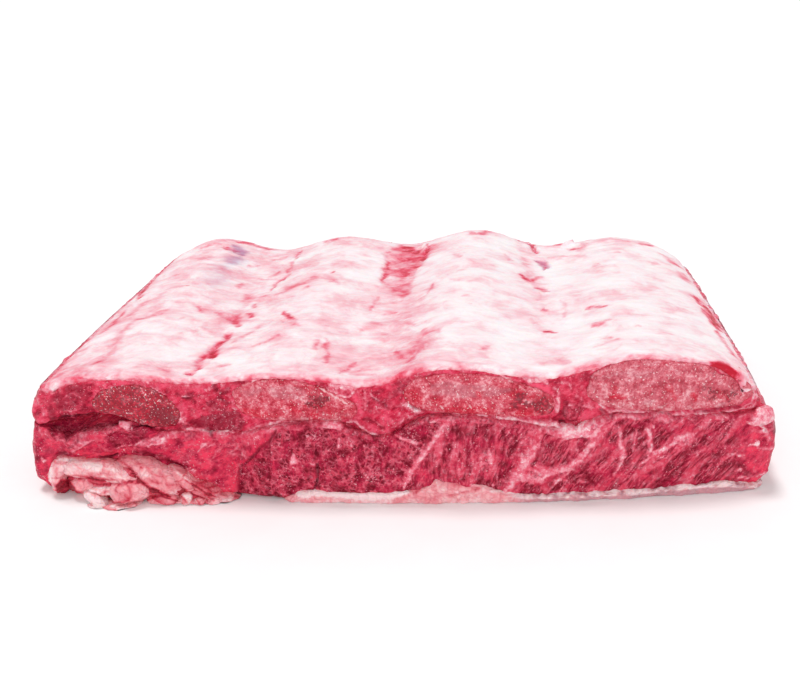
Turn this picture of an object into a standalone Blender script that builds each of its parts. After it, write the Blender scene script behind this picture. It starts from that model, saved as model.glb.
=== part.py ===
"""Raw beef short ribs: a slab of four ribs lying bone side up, sawn through at the front and the back.

X runs across the ribs, Y along them from the front cut to the back cut, and Z up from the table.
The slab is made in layers, as the cut shows them: fat cap, lower muscle, rib meat with four bones, membrane.
Each layer is a box cut into a lattice, whose points a shape function then moves to their place.
"""
import math

import bmesh
import bpy
import numpy as np

MM = 0.001  # the sizes below are in millimetres
GAP = 0.3  # clearance between neighbouring pieces
SEAM_CLEARANCE = 0.45  # each layer's distance from the middle of the seam between them

SLAB_DEPTH = 184.0
FRONT_CORNER = 3.5  # plan radius of the slab's front corners
BACK_CORNER = (12.0, 19.0)  # plan radius of its back corners, at the bottom and at the top
CENTRE = (-2.85, 89.95)  # middle of the slab's box, which the origin stands under

# Share of the slab's height at which each layer starts, used to look up the side outline.
SEAM_LEVEL = 0.55
MEMBRANE_LEVEL = 0.88

# Side outline: (level, x at the front, x at the back).
LEFT_SIDE = (
    (0.00, -133.0, -134.0),
    (0.12, -138.0, -141.0),
    (0.35, -138.5, -143.0),
    (0.55, -135.5, -142.0),
    (0.72, -136.5, -142.0),
    (0.88, -133.5, -140.0),
    (1.00, -130.0, -137.5),
)
RIGHT_SIDE = (
    (0.00, 132.0, 132.0),
    (0.12, 135.5, 136.0),
    (0.38, 136.5, 137.0),
    (0.55, 133.5, 135.5),
    (0.72, 131.0, 134.0),
    (0.88, 128.5, 131.5),
    (1.00, 125.0, 128.5),
)

# Top of the slab, crest and valley by turns: (x at the front, z at the front, x at the back, z at the back).
CRESTS = (
    (-131.0, 45.5, -141.0, 46.0),
    (-100.0, 48.4, -116.0, 50.5),
    (-77.0, 46.8, -84.0, 44.5),
    (-41.0, 50.0, -50.0, 52.0),
    (-14.0, 47.2, -13.0, 48.0),
    (14.0, 54.0, 21.0, 55.5),
    (50.0, 50.0, 57.0, 47.5),
    (79.0, 54.6, 92.0, 53.0),
    (119.0, 49.0, 126.0, 48.5),
)
LEFT_SHOULDER = (14.0, 3.5)  # width and drop of the rounded edge of the top
RIGHT_SHOULDER = (14.0, 8.5)
BACK_SHOULDER = (12.0, 1.2)
MEMBRANE_THICKNESS = 1.6

# Seam between the rib meat and the lower muscle: it rises under each rib and dips between two.
SEAM = (
    (-138.0, 31.0, -142.0, 31.5),
    (-108.0, 32.6, -118.0, 29.0),
    (-92.0, 26.8, -104.0, 28.5),
    (-62.0, 26.0, -80.0, 29.0),
    (-46.0, 29.8, -60.0, 31.0),
    (-26.0, 31.6, -40.0, 31.0),
    (-9.0, 26.4, -12.0, 29.5),
    (8.0, 34.0, 8.0, 32.0),
    (33.0, 32.6, 33.0, 33.0),
    (60.0, 27.4, 58.0, 29.5),
    (74.0, 33.2, 76.0, 31.0),
    (98.0, 31.6, 98.0, 30.5),
    (137.0, 31.0, 137.0, 31.0),
)

# Ribs: centre, half width and half height of the sawn face at the front, then at the back.
RIBS = (
    ((-97.5, 35.6, 15.8, 7.9), (-105.5, 37.2, 10.5, 7.2)),
    ((-39.0, 39.8, 22.0, 8.0), (-49.0, 40.8, 16.5, 8.2)),
    ((25.5, 42.0, 28.0, 8.6), (21.5, 43.4, 20.0, 9.0)),
    ((95.0, 41.8, 30.0, 9.0), (90.0, 40.8, 20.5, 8.6)),
)
# Outline of each sawn face against its ellipse, at 16 angles from the right end upwards and round.
RIB_SHARES = (
    (0.90, 0.84, 0.89, 0.98, 1.02, 1.00, 1.02, 0.99, 0.98, 0.88, 0.79, 0.78, 0.85, 1.00, 1.21, 1.06),
    (0.83, 0.72, 0.70, 0.76, 0.88, 1.03, 1.08, 1.06, 1.00, 1.05, 1.14, 1.09, 1.00, 1.11, 1.22, 1.05),
    (0.85, 0.72, 0.70, 0.79, 0.88, 1.02, 1.07, 0.97, 0.94, 0.94, 0.93, 0.85, 0.86, 1.06, 1.26, 1.02),
    (0.95, 0.78, 0.78, 0.91, 1.12, 1.32, 1.24, 1.07, 1.03, 1.00, 0.98, 0.90, 0.92, 0.96, 1.15, 1.06),
)
RIB_COVER = (0.8, 1.8)  # least meat over and under a rib, at the front and at the back
RIB_PROUD = 0.5  # the sawn bone stands out of the shrunk meat
RIB_CLEARANCE = 0.6

RIB_MEAT_SETBACK = 2.2  # the rib meat's front behind the lower muscle's
MEMBRANE_SETBACK = 1.2

# Pocket at the left of the front face, where the lower muscle has drawn away from the ribs.
POCKET_CENTRE = -118.0
POCKET_HALF_WIDTH = 13.0
POCKET_DEPTH = 16.0
POCKET_DROP = 8.5

# Lower muscle's front: (x, how far it bulges towards the front).
MUSCLE_BULGE = (
    (-140.0, -1.0),
    (-115.0, -2.0),
    (-70.0, 0.0),
    (-62.0, -3.0),
    (-52.0, 1.5),
    (-20.0, 3.0),
    (15.0, 1.8),
    (60.0, 1.2),
    (100.0, 1.5),
    (137.0, 0.0),
)

# Fat cap under the slab: (x, thickness at the front); it thins out to its left end.
CAP_FRONT = (
    (-42.0, 4.2),
    (-4.0, 4.6),
    (10.0, 9.0),
    (24.0, 6.4),
    (34.0, 3.2),
    (70.0, 2.6),
    (137.0, 3.2),
)
CAP_THICKNESS = 4.0
CAP_LEFT_FRONT = -44.0
CAP_LEFT_BACK = -131.0
CAP_STEP = 12.0  # length over which the cap's left end thins out
CAP_LEVEL = 0.08  # side outline's level at the cap's top
CAP_FORWARD = 1.0
OVERRUN = 4.0  # how far a cutter passes through the surface that it opens

# Folded fat at the lower left of the front: (x, height, reach forward, reach back).
TRIM = (
    (-134.5, 9.0, -1.0, 9.0),
    (-126.0, 14.5, 4.0, 16.0),
    (-110.0, 16.4, 8.5, 20.0),
    (-95.0, 15.6, 6.5, 20.0),
    (-80.0, 11.2, 5.0, 17.0),
    (-70.0, 7.0, 3.5, 13.0),
    (-63.5, 3.5, 1.0, 8.0),
)
TRIM_FOLDS = 4
TRIM_FOLD_DEPTH = 0.9

ACROSS = 40  # lattice divisions across the slab
ALONG = (0.015, 0.045, 0.1, 0.2, 0.4, 0.6, 0.8, 0.88, 0.94, 0.98)
END_RINGS = (0.001, 0.999)  # extra rings, brought to the two cuts, on pieces whose ends pass through them
RIB_SIDES = 20
TRIM_SIDES = 22
TRIM_ALONG = 20

COLOURS = {
    "membrane": ((0.86, 0.60, 0.62), 0.38),
    "rib_meat": ((0.52, 0.07, 0.10), 0.35),
    "bone": ((0.62, 0.28, 0.29), 0.45),
    "lower_muscle": ((0.40, 0.03, 0.06), 0.35),
    "fat": ((0.84, 0.52, 0.53), 0.42),
}


def hermite(t, start, end, slope_in, slope_out):
    """Cubic from start to end over t 0..1, with its end slopes already times the span."""
    t2, t3 = t * t, t * t * t
    return (
        (2 * t3 - 3 * t2 + 1) * start
        + (t3 - 2 * t2 + t) * slope_in
        + (3 * t2 - 2 * t3) * end
        + (t3 - t2) * slope_out
    )


def curve_through(x, xs, zs):
    """A smooth curve through the points (xs, zs), level beyond its ends; xs and zs may be arrays like x."""
    last = len(xs) - 1
    slopes = []
    for i in range(last + 1):
        before, after = max(i - 1, 0), min(i + 1, last)
        inner = 0 < i < last
        slopes.append(inner * (zs[after] - zs[before]) / (xs[after] - xs[before]))
    result = zs[0] + 0 * x
    for i in range(last):
        span = xs[i + 1] - xs[i]
        t = np.clip((x - xs[i]) / span, 0, 1)
        piece = hermite(t, zs[i], zs[i + 1], slopes[i] * span, slopes[i + 1] * span)
        result = np.where(x >= xs[i], piece, result)
    return result


def along_slab(x, v, rows):
    """Height over the slab from rows of (x front, z front, x back, z back); v is 0 at the front cut, 1 at the back."""
    xs = [front_x + (back_x - front_x) * v for front_x, _, back_x, _ in rows]
    zs = [front_z + (back_z - front_z) * v for _, front_z, _, back_z in rows]
    return curve_through(x, xs, zs)


def by_level(level, v, rows):
    """Side outline's x at a level, from rows of (level, x front, x back)."""
    xs = [front + (back - front) * np.sqrt(v) for _, front, back in rows]
    return curve_through(level, [row[0] for row in rows], xs)


def rounding(distance, width, drop):
    """Quarter-round edge: how far the surface falls at a distance in from the edge."""
    t = 1 - np.clip(distance / width, 0, 1)
    return drop * (1 - np.sqrt(1 - t * t))


def corner_inset(level, v):
    """How far the sides draw in at the slab's four plan corners; the back ones round off more at the top."""
    front = rounding(v * SLAB_DEPTH, FRONT_CORNER, FRONT_CORNER)
    low, high = BACK_CORNER
    radius = low + (high - low) * level**4
    return front + rounding((1 - v) * SLAB_DEPTH, radius, radius)


def left_x(level, v):
    return by_level(level, v, LEFT_SIDE) + corner_inset(level, v)


def right_x(level, v):
    return by_level(level, v, RIGHT_SIDE) - corner_inset(level, v)


def front_y(x):
    """The front cut, seen from above: it falls back slowly to the left and faster to the right."""
    from_nearest = x + 25
    return np.where(from_nearest > 0, 0.00062, 0.0002) * from_nearest**2


def back_y(x):
    return SLAB_DEPTH + 3.5 * np.exp(-(((x - 25) / 45) ** 2))


def plan_y(x, v, forward=0.0):
    """Y of a point between the two cuts; forward moves the front cut towards the front."""
    start = front_y(x) - forward
    return start + (back_y(x) - start) * v


def split_ends(v):
    """Brings the extra rings to the cuts, and marks the outermost ones with -1 and 1."""
    outermost = (v == 1.0) * 1.0 - (v == 0.0) * 1.0
    low, high = END_RINGS
    return np.where(v < 2 * low, 0.0, np.where(v > 2 * high - 1, 1.0, v)), outermost


def top_z(x, v):
    fall = rounding(x - left_x(1.0, v), *LEFT_SHOULDER)
    fall = fall + rounding(right_x(1.0, v) - x, *RIGHT_SHOULDER)
    fall = fall + rounding((1 - v) * SLAB_DEPTH, *BACK_SHOULDER)
    return along_slab(x, v, CRESTS) - fall


def rib_meat_top(x, v):
    return top_z(x, v) - MEMBRANE_THICKNESS - GAP


def seam_z(x, v):
    return along_slab(x, v, SEAM)


def pocket_fall(x, v):
    """How far the lower muscle's top drops into the pocket."""
    across = np.exp(-(((x - POCKET_CENTRE) / POCKET_HALF_WIDTH) ** 4))
    return POCKET_DROP * across * np.exp(-((v * SLAB_DEPTH / POCKET_DEPTH) ** 2))


def cap_left(v):
    """The fat cap's left end runs back from the front cut to the slab's left side."""
    t = np.clip(v / 0.3, 0, 1)
    share = t * t * (3 - 2 * t)
    return CAP_LEFT_FRONT + (CAP_LEFT_BACK - CAP_LEFT_FRONT) * share + corner_inset(0.0, v)


def cap_thickness(x, v):
    xs, zs = zip(*CAP_FRONT)
    front = curve_through(x, xs, zs)
    body = CAP_THICKNESS + (front - CAP_THICKNESS) * np.exp(-((v * SLAB_DEPTH / 14) ** 2))
    t = np.clip((x - cap_left(v)) / CAP_STEP, 0, 1)
    return 0.8 + (body - 0.8) * np.sqrt(t)


def rib_outline(rib, angle, v, grow=0.0):
    """Point of a rib's outline: an ellipse drawn in and out by the rib's shares, kept inside the rib meat."""
    front, back = (np.array(row) for row in RIBS[rib])
    x0, z0, half_width, half_height = (f + (b - f) * v for f, b in zip(front, back))
    shares = RIB_SHARES[rib]
    angles = np.arange(len(shares) + 1) * (2 * math.pi / len(shares))
    share = np.interp(angle % (2 * math.pi), angles, shares + shares[:1])
    across, up = np.cos(angle), np.sin(angle)
    x = x0 + half_width * share * across
    z = z0 + half_height * share * up
    cover = GAP + RIB_COVER[0] + (RIB_COVER[1] - RIB_COVER[0]) * v
    z = np.minimum(z, rib_meat_top(x, v) - cover)
    z = np.maximum(z, seam_z(x, v) + SEAM_CLEARANCE + cover)
    out_x, out_z = half_height * across, half_width * up  # square to the ellipse
    out = grow / np.hypot(out_x, out_z)
    return x + out * out_x, z + out * out_z


def new_material(name):
    colour, roughness = COLOURS[name]
    material = bpy.data.materials.new(name)
    material.use_nodes = True
    shader = material.node_tree.nodes["Principled BSDF"]
    shader.inputs["Base Color"].default_value = (*colour, 1.0)
    shader.inputs["Roughness"].default_value = roughness
    shader.inputs["Metallic"].default_value = 0.0
    return material


def finish_object(name, bm, material, collection):
    mesh = bpy.data.meshes.new(name)
    bm.to_mesh(mesh)
    bm.free()
    mesh.shade_smooth()
    mesh.set_sharp_from_angle(angle=math.radians(40))
    obj = bpy.data.objects.new(name, mesh)
    obj.data.materials.append(material)
    collection.objects.link(obj)
    obj.location = (-CENTRE[0] * MM, -CENTRE[1] * MM, 0.0)
    return obj


def cut_at(bm, stations, axis):
    """Cuts the lattice's divisions into a primitive, across one axis."""
    normal = [float(i == axis) for i in range(3)]
    for station in stations:
        point = [station * n for n in normal]
        geometry = bm.verts[:] + bm.edges[:] + bm.faces[:]
        bmesh.ops.bisect_plane(bm, geom=geometry, dist=1e-6, plane_co=point, plane_no=normal)


def move_points(bm, place):
    """Sends every point of the primitive through place(first, second, third), which gives millimetres."""
    points = np.array([vert.co[:] for vert in bm.verts])
    moved = np.stack(place(*points.T), axis=1) * MM
    for vert, co in zip(bm.verts, moved):
        vert.co = co


def layer(name, place, levels, material, collection, along=ALONG):
    """A layer of the slab: a unit box cut into a lattice, its points moved by place(u across, v along, w up)."""
    bm = bmesh.new()
    bmesh.ops.create_cube(bm, size=1.0)
    bmesh.ops.translate(bm, verts=bm.verts, vec=(0.5, 0.5, 0.5))
    cut_at(bm, [i / ACROSS for i in range(1, ACROSS)], 0)
    cut_at(bm, along, 1)
    cut_at(bm, [i / levels for i in range(1, levels)], 2)
    move_points(bm, place)
    return finish_object(name, bm, material, collection)


def across_slab(u, level, v):
    start = left_x(level, v)
    return start + (right_x(level, v) - start) * u


def place_membrane(u, v, w):
    level = MEMBRANE_LEVEL + (1 - MEMBRANE_LEVEL) * w
    x = across_slab(u, level, v)
    z = top_z(x, v) - MEMBRANE_THICKNESS * (1 - w)
    return x, plan_y(x, v, -MEMBRANE_SETBACK), z


def place_rib_meat(u, v, w):
    x = across_slab(u, SEAM_LEVEL + (MEMBRANE_LEVEL - SEAM_LEVEL) * w, v)
    low = seam_z(x, v) + SEAM_CLEARANCE
    z = low + (rib_meat_top(x, v) - low) * w
    return x, plan_y(x, v, -RIB_MEAT_SETBACK), z


def place_lower_muscle(u, v, w):
    x = across_slab(u, SEAM_LEVEL * w, v)
    high = seam_z(x, v) - SEAM_CLEARANCE - pocket_fall(x, v)
    xs, forward = zip(*MUSCLE_BULGE)
    bulge = curve_through(x, xs, forward) * np.sin(math.pi * np.clip(w, 0.1, 0.9))
    return x, plan_y(x, v, bulge), GAP + (high - GAP) * w


def place_fat_cap(u, along, w, grow=0.0):
    """The cap's layer; with grow, the space for it, which passes out through the slab's sides and the floor."""
    v, outermost = split_ends(along)
    start = cap_left(v) - grow
    x = start + (right_x(CAP_LEVEL * w, v) + OVERRUN * (grow > 0) - start) * u
    z = (cap_thickness(x, v) + grow) * w
    if grow:
        z = np.where(w > 0, z, -OVERRUN)
    return x, plan_y(x, v, CAP_FORWARD) + OVERRUN * (grow > 0) * outermost, z


def rib(index, material, collection, name, grow=0.0, overrun=0.0):
    """A rib as a cylinder laid along the slab, its sides moved out to the rib's outline."""
    bm = bmesh.new()
    bmesh.ops.create_cone(bm, cap_ends=True, segments=RIB_SIDES, radius1=1.0, radius2=1.0, depth=1.0)
    bmesh.ops.translate(bm, verts=bm.verts, vec=(0.0, 0.0, 0.5))
    cut_at(bm, ALONG + END_RINGS, 2)

    def place(across, up, along):
        v, outermost = split_ends(along)
        x, z = rib_outline(index, np.arctan2(up, across), v, grow)
        y = plan_y(x, v, -RIB_MEAT_SETBACK) + (RIB_PROUD + overrun) * outermost
        return x, y, z

    move_points(bm, place)
    bmesh.ops.reverse_faces(bm, faces=bm.faces)  # laying the cylinder down mirrors it
    return finish_object(name, bm, material, collection)


def fat_trim(name, material, collection, grow=0.0):
    """Folded fat: a cylinder laid across the slab, its rings swollen and creased by the fold ridges."""
    bm = bmesh.new()
    bmesh.ops.create_cone(bm, cap_ends=True, segments=TRIM_SIDES, radius1=1.0, radius2=1.0, depth=1.0)
    bmesh.ops.translate(bm, verts=bm.verts, vec=(0.0, 0.0, 0.5))
    cut_at(bm, [i / TRIM_ALONG for i in range(1, TRIM_ALONG)], 2)
    xs, heights, fronts, backs = zip(*TRIM)

    def place(ahead, up, s):
        angle = np.arctan2(up, ahead)
        x = xs[0] + (xs[-1] - xs[0]) * s + grow * np.sign(s - 0.5) * (np.abs(s - 0.5) > 0.49)
        high = curve_through(x, xs, heights)
        reach_front = curve_through(x, xs, fronts)
        reach_back = curve_through(x, xs, backs)
        middle, half = (reach_back - reach_front) / 2, (reach_back + reach_front) / 2
        fold = 1 - TRIM_FOLD_DEPTH * 0.1 * np.cos(TRIM_FOLDS * angle + 9 * s) * (up > 0)
        sideways = np.sign(ahead) * np.abs(np.cos(angle)) ** 0.7
        upright = np.sign(up) * np.abs(np.sin(angle)) ** 0.7
        depth = high / 2
        if grow:  # the space goes straight down through the floor
            sideways = np.where(up < 0, np.clip(3 * sideways, -1, 1), sideways)
            depth = np.where(up < 0, high / 2 + 3, high / 2)
        y = front_y(x) + middle - (half * fold + grow) * sideways
        z = high / 2 + (depth * fold + grow) * upright
        return x, y, z if grow else np.maximum(z, 0.0)

    move_points(bm, place)
    bmesh.ops.reverse_faces(bm, faces=bm.faces)  # laying the cylinder down mirrors it
    return finish_object(name, bm, material, collection)


def subtract(obj, cutter):
    cutter.hide_render = True
    cutter.display_type = "WIRE"
    boolean = obj.modifiers.new("cut_" + cutter.name, "BOOLEAN")
    boolean.operation = "DIFFERENCE"
    boolean.solver = "EXACT"
    boolean.object = cutter


def new_collection(name):
    collection = bpy.data.collections.new(name)
    bpy.context.scene.collection.children.link(collection)
    return collection


def main():
    for old in list(bpy.data.objects):
        bpy.data.objects.remove(old)
    slab = new_collection("beef_short_ribs")
    cutters = new_collection("cutters")
    finishes = {name: new_material(name) for name in COLOURS}

    layer("membrane", place_membrane, 1, finishes["membrane"], slab)
    rib_meat = layer("rib_meat", place_rib_meat, 3, finishes["rib_meat"], slab)
    for index in range(len(RIBS)):
        rib(index, finishes["bone"], slab, f"rib_bone_{index + 1}")
        space = rib(index, finishes["bone"], cutters, f"rib_space_{index + 1}", RIB_CLEARANCE, OVERRUN)
        subtract(rib_meat, space)

    lower_muscle = layer("lower_muscle", place_lower_muscle, 4, finishes["lower_muscle"], slab)
    layer("fat_cap", place_fat_cap, 1, finishes["fat"], slab)
    grown_cap = layer(
        "cap_space",
        lambda u, v, w: place_fat_cap(u, v, w, 2 * GAP),
        1,
        finishes["fat"],
        cutters,
        ALONG + END_RINGS,
    )
    subtract(lower_muscle, grown_cap)
    fat_trim("fat_trim", finishes["fat"], slab)
    subtract(lower_muscle, fat_trim("trim_space", finishes["fat"], cutters, GAP))


main()
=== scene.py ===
import itertools
import math

import bpy
import numpy as np
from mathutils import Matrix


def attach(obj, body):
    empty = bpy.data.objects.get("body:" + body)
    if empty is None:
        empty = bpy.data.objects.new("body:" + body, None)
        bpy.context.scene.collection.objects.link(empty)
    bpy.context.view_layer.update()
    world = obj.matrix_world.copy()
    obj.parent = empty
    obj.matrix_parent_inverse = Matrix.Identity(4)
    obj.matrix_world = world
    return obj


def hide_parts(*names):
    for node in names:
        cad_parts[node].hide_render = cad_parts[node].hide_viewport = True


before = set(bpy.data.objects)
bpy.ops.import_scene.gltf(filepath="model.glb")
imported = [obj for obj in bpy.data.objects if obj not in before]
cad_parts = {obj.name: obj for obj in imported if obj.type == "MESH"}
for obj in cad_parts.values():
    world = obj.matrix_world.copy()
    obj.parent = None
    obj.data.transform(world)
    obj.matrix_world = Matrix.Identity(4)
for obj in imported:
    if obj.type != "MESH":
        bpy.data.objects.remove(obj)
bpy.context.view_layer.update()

mm = 0.001

# The slab as a whole, in millimetres: x across the ribs, y back from the front cut, z up from the table.
slab = dict(
    depth=184.0,
    width=270.0,  # a plain width, for distances in from the sides
    cutReach=9,  # how far behind a sawn end its pattern reaches
    nearest=-25,  # x of the front cut's nearest point
    fallBack=(0.0002, 0.00062),  # of the front cut to the left and right of that, in mm per mm squared
    backBulge=dict(centre=25, halfWidth=45, reach=3.5),
    centre=(-2.85, 89.95),  # the plan point that the frame's origin stands under
    frontCorner=3.5,
    backCorner=(12.0, 19.0),  # at the bottom and at the top
    seamLevel=0.55,  # share of the side outline where the rib layer starts
    membraneLevel=0.88,
    frontShoulder=(2.6, 1.0),
    leftShoulder=(14.0, 3.5),  # width and drop of the top's rounded edge
    rightShoulder=(14.0, 8.5),
    backShoulder=(12.0, 1.2),
)

# Roughly where the photo's eye stands: its x and how far off, and how far up a point shows for each mm back.
eye = dict(x=33, away=370, rise=0.4)

# Side outline: level, x at the front, x at the back.
leftSide = (
    (0.00, -135.5, -134.0),
    (0.12, -140.2, -141.0),
    (0.35, -139.8, -143.0),
    (0.55, -137.2, -142.0),
    (0.63, -138.4, -142.0),
    (0.72, -137.2, -142.0),
    (0.88, -132.5, -140.0),
    (1.00, -130.0, -137.5),
)
rightSide = (
    (0.00, 131.0, 132.0),
    (0.12, 134.7, 136.0),
    (0.38, 136.0, 137.0),
    (0.55, 131.6, 135.5),
    (0.72, 127.8, 134.0),
    (0.88, 125.9, 131.5),
    (1.00, 123.4, 128.5),
)

# Crests and valleys of the top: x and z at the front, x and z at the back.
crests = (
    (-131.0, 45.5, -141.0, 46.0),
    (-100.0, 48.4, -116.0, 50.5),
    (-77.0, 46.8, -84.0, 44.5),
    (-41.0, 50.0, -50.0, 52.0),
    (-14.0, 47.2, -13.0, 48.0),
    (14.0, 54.0, 21.0, 55.5),
    (50.0, 50.0, 57.0, 47.5),
    (79.0, 55.9, 92.0, 53.0),
    (103.0, 53.6, 109.0, 51.3),
    (119.0, 49.8, 126.0, 48.5),
)

# The seam under the ribs, in the same terms.
seam = (
    (-138.0, 27.6, -142.0, 31.5),
    (-126.0, 31.0, -132.0, 30.6),
    (-108.0, 32.6, -118.0, 29.0),
    (-92.0, 26.8, -104.0, 28.5),
    (-62.0, 26.0, -80.0, 29.0),
    (-46.0, 29.8, -60.0, 31.0),
    (-26.0, 31.6, -40.0, 31.0),
    (-9.0, 26.4, -12.0, 29.5),
    (8.0, 34.0, 8.0, 32.0),
    (33.0, 32.6, 33.0, 33.0),
    (60.0, 27.4, 58.0, 29.5),
    (74.0, 33.2, 76.0, 31.0),
    (98.0, 31.6, 98.0, 30.5),
    (137.0, 31.0, 137.0, 31.0),
)


def smoothCurve(x, xs, zs):
    # cubic pieces through the points, with each point's slope that between its neighbours, and 0 at the ends
    last = len(xs) - 1
    slopes = [0 * zs[0]]
    slopes += [(zs[i + 1] - zs[i - 1]) / (xs[i + 1] - xs[i - 1]) for i in range(1, last)]
    slopes += [0 * zs[0]]
    result = zs[0] + 0 * x
    for i in range(last):
        span = xs[i + 1] - xs[i]
        t = np.clip((x - xs[i]) / span, 0, 1)
        t2, t3 = t * t, t * t * t
        piece = (2 * t3 - 3 * t2 + 1) * zs[i] + (3 * t2 - 2 * t3) * zs[i + 1]
        piece = piece + span * ((t3 - 2 * t2 + t) * slopes[i] + (t3 - t2) * slopes[i + 1])
        result = np.where(x >= xs[i], piece, result)
    return result


def curveOf(x, rows):
    # the smooth curve through rows of x and z
    return smoothCurve(x, *zip(*rows))


def alongSlab(x, v, rows):
    # the rows' points slide from their front place to their back place as v goes from 0 to 1
    xs = [frontX + (backX - frontX) * v for frontX, _, backX, _ in rows]
    zs = [frontZ + (backZ - frontZ) * v for _, frontZ, _, backZ in rows]
    return smoothCurve(x, xs, zs)


def smoothStep(low, high, x):
    # 0 at low and 1 at high, level at both: 3t^2 - 2t^3
    t = np.clip((x - low) / (high - low), 0, 1)
    return t * t * (3 - 2 * t)


def bell(x, width):
    # 1 at 0, falling as a Gaussian with that width
    return np.exp(-((x / width) ** 2))


def quarterRound(distance, width, drop):
    # fall of a quarter-round edge at a distance in from it
    t = 1 - np.clip(distance / width, 0, 1)
    return drop * (1 - np.sqrt(1 - t * t))


def gradientNoise(points, seed):
    # dot products of random gradients at a cell's corners with the offsets from them, blended by
    # 6t^5 - 15t^4 + 10t^3 and brought to about -1 to 1
    rng = np.random.default_rng(seed)
    table = rng.permutation(256)
    gradients = rng.normal(size=(256, 3))
    gradients /= np.linalg.norm(gradients, axis=1, keepdims=True)
    cell = np.floor(points).astype(np.int64)
    offset = points - cell
    fade = offset**3 * (offset * (offset * 6 - 15) + 10)
    total = np.zeros(points.shape[:-1])
    for corner in itertools.product((0, 1), repeat=3):
        a, b, c = ((cell[..., i] + corner[i]) & 255 for i in range(3))
        gradient = gradients[table[(table[(table[a] + b) & 255] + c) & 255]]
        weight = np.prod(np.where(corner, fade, 1 - fade), axis=-1)
        total += weight * ((offset - corner) * gradient).sum(-1)
    return 1.6 * total


def fractalNoise(points, size, seed, octaves=3):
    # gradient noise with features of that size in mm, each octave at half the size and half the strength
    total = 0
    for octave in range(octaves):
        scale = 2.0**octave
        total = total + gradientNoise(points * (scale / size) + 17.3 * octave, seed + octave) / scale
    return total


def strokeDistance(x, z, path):
    # distance to a line of straight pieces, and how far along it the nearest point is, 0 to 1
    best, where = np.full(x.shape, 1e9), np.zeros(x.shape)
    last = len(path) - 1
    for i in range(last):
        (x0, z0), (x1, z1) = path[i], path[i + 1]
        dx, dz = x1 - x0, z1 - z0
        t = np.clip(((x - x0) * dx + (z - z0) * dz) / (dx * dx + dz * dz), 0, 1)
        distance = np.hypot(x - x0 - t * dx, z - z0 - t * dz)
        nearer = distance < best
        best = np.where(nearer, distance, best)
        where = np.where(nearer, (i + t) / last, where)
    return best, where


def insideOf(x, z, path):
    # even-odd rule: a point is inside where an odd number of the closed line's pieces lie above it
    inside = np.zeros(x.shape, bool)
    for (x0, z0), (x1, z1) in zip(path[:-1], path[1:]):
        if x1 != x0:
            inside ^= ((x0 > x) != (x1 > x)) & (z < z0 + (x - x0) * (z1 - z0) / (x1 - x0))
    return inside


def brush(x, z, strokes, kinds):
    # a stroke is a bell across its line, narrower at its ends; a line that closes on itself is filled.
    # Lifts add up, and other kinds close in on 1 where strokes meet. A bare amount is of the first kind.
    fields = {kind: np.zeros(x.shape) for kind in kinds}
    for width, amounts, line in strokes:
        path = list(zip(line[::2], line[1::2]))
        if not isinstance(amounts, dict):
            amounts = {kinds[0]: amounts}
        low, high = np.min(path, axis=0) - 2.5 * width, np.max(path, axis=0) + 2.5 * width
        near = np.nonzero((x > low[0]) & (x < high[0]) & (z > low[1]) & (z < high[1]))
        nearX, nearZ = x[near], z[near]
        distance, where = strokeDistance(nearX, nearZ, path)
        if path[0] == path[-1]:
            distance = np.where(insideOf(nearX, nearZ, path), 0, distance)
        else:
            distance = distance / (0.4 + 0.6 * np.sqrt(np.clip(4 * where * (1 - where), 0, 1)))
        touch = bell(distance, width)
        for kind, amount in amounts.items():
            before = fields[kind][near]
            room = 1 if kind == "lift" else np.where(before * amount < 0, 1, 1 - np.abs(before))
            fields[kind][near] = before + amount * touch * room
    return fields


def cornerInset(level, v):
    # how far a side draws in at the plan's round corners, whose back radius grows with the level
    front = quarterRound(v * slab["depth"], slab["frontCorner"], slab["frontCorner"])
    low, high = slab["backCorner"]
    radius = low + (high - low) * level**4
    return front + quarterRound((1 - v) * slab["depth"], radius, radius)


def sideX(level, v, rows):
    # the side's curve over its level, which goes from its front to its back x with the root of v
    xs = [front + (back - front) * np.sqrt(v) for _, front, back in rows]
    return smoothCurve(level, [row[0] for row in rows], xs)


def leftX(level, v):
    # the left side, with its round corners
    return sideX(level, v, leftSide) + cornerInset(level, v)


def rightX(level, v):
    # the right side, with its round corners
    return sideX(level, v, rightSide) - cornerInset(level, v)


def acrossSlab(u, level, v):
    # straight from the left to the right side as u goes from 0 to 1
    start = leftX(level, v)
    return start + (rightX(level, v) - start) * u


def frontY(x):
    # the front cut falls back as a parabola, slowly to the left of its nearest point and faster to the right
    fromNearest, (left, right) = x - slab["nearest"], slab["fallBack"]
    return np.where(fromNearest > 0, right, left) * fromNearest**2


def planY(x, v, forward=0.0):
    # straight back from the front cut, or from so far before it, to the back cut, which bulges a little
    start = frontY(x) - forward
    bulge = slab["backBulge"]
    end = slab["depth"] + bulge["reach"] * bell(x - bulge["centre"], bulge["halfWidth"])
    return start + (end - start) * v


def topZ(x, v):
    # the crests' surface, less the round shoulders along all four edges
    fall = quarterRound(x - leftX(1.0, v), *slab["leftShoulder"])
    fall = fall + quarterRound(rightX(1.0, v) - x, *slab["rightShoulder"])
    fall = fall + quarterRound((1 - v) * slab["depth"], *slab["backShoulder"])
    fall = fall + quarterRound(v * slab["depth"], *slab["frontShoulder"])
    return alongSlab(x, v, crests) - fall


def seamZ(x, v):
    # the surface between the ribs' layer and the thick muscle
    return alongSlab(x, v, seam)


def fromCuts(v):
    # distance in from the nearer of the two sawn ends
    return np.minimum(v, 1 - v) * slab["depth"]


def fromEdges(u, v):
    # distance in from the nearest edge of the slab's plan, taken for a rectangle
    return np.minimum(fromCuts(v), np.minimum(u, 1 - u) * slab["width"])


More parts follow.
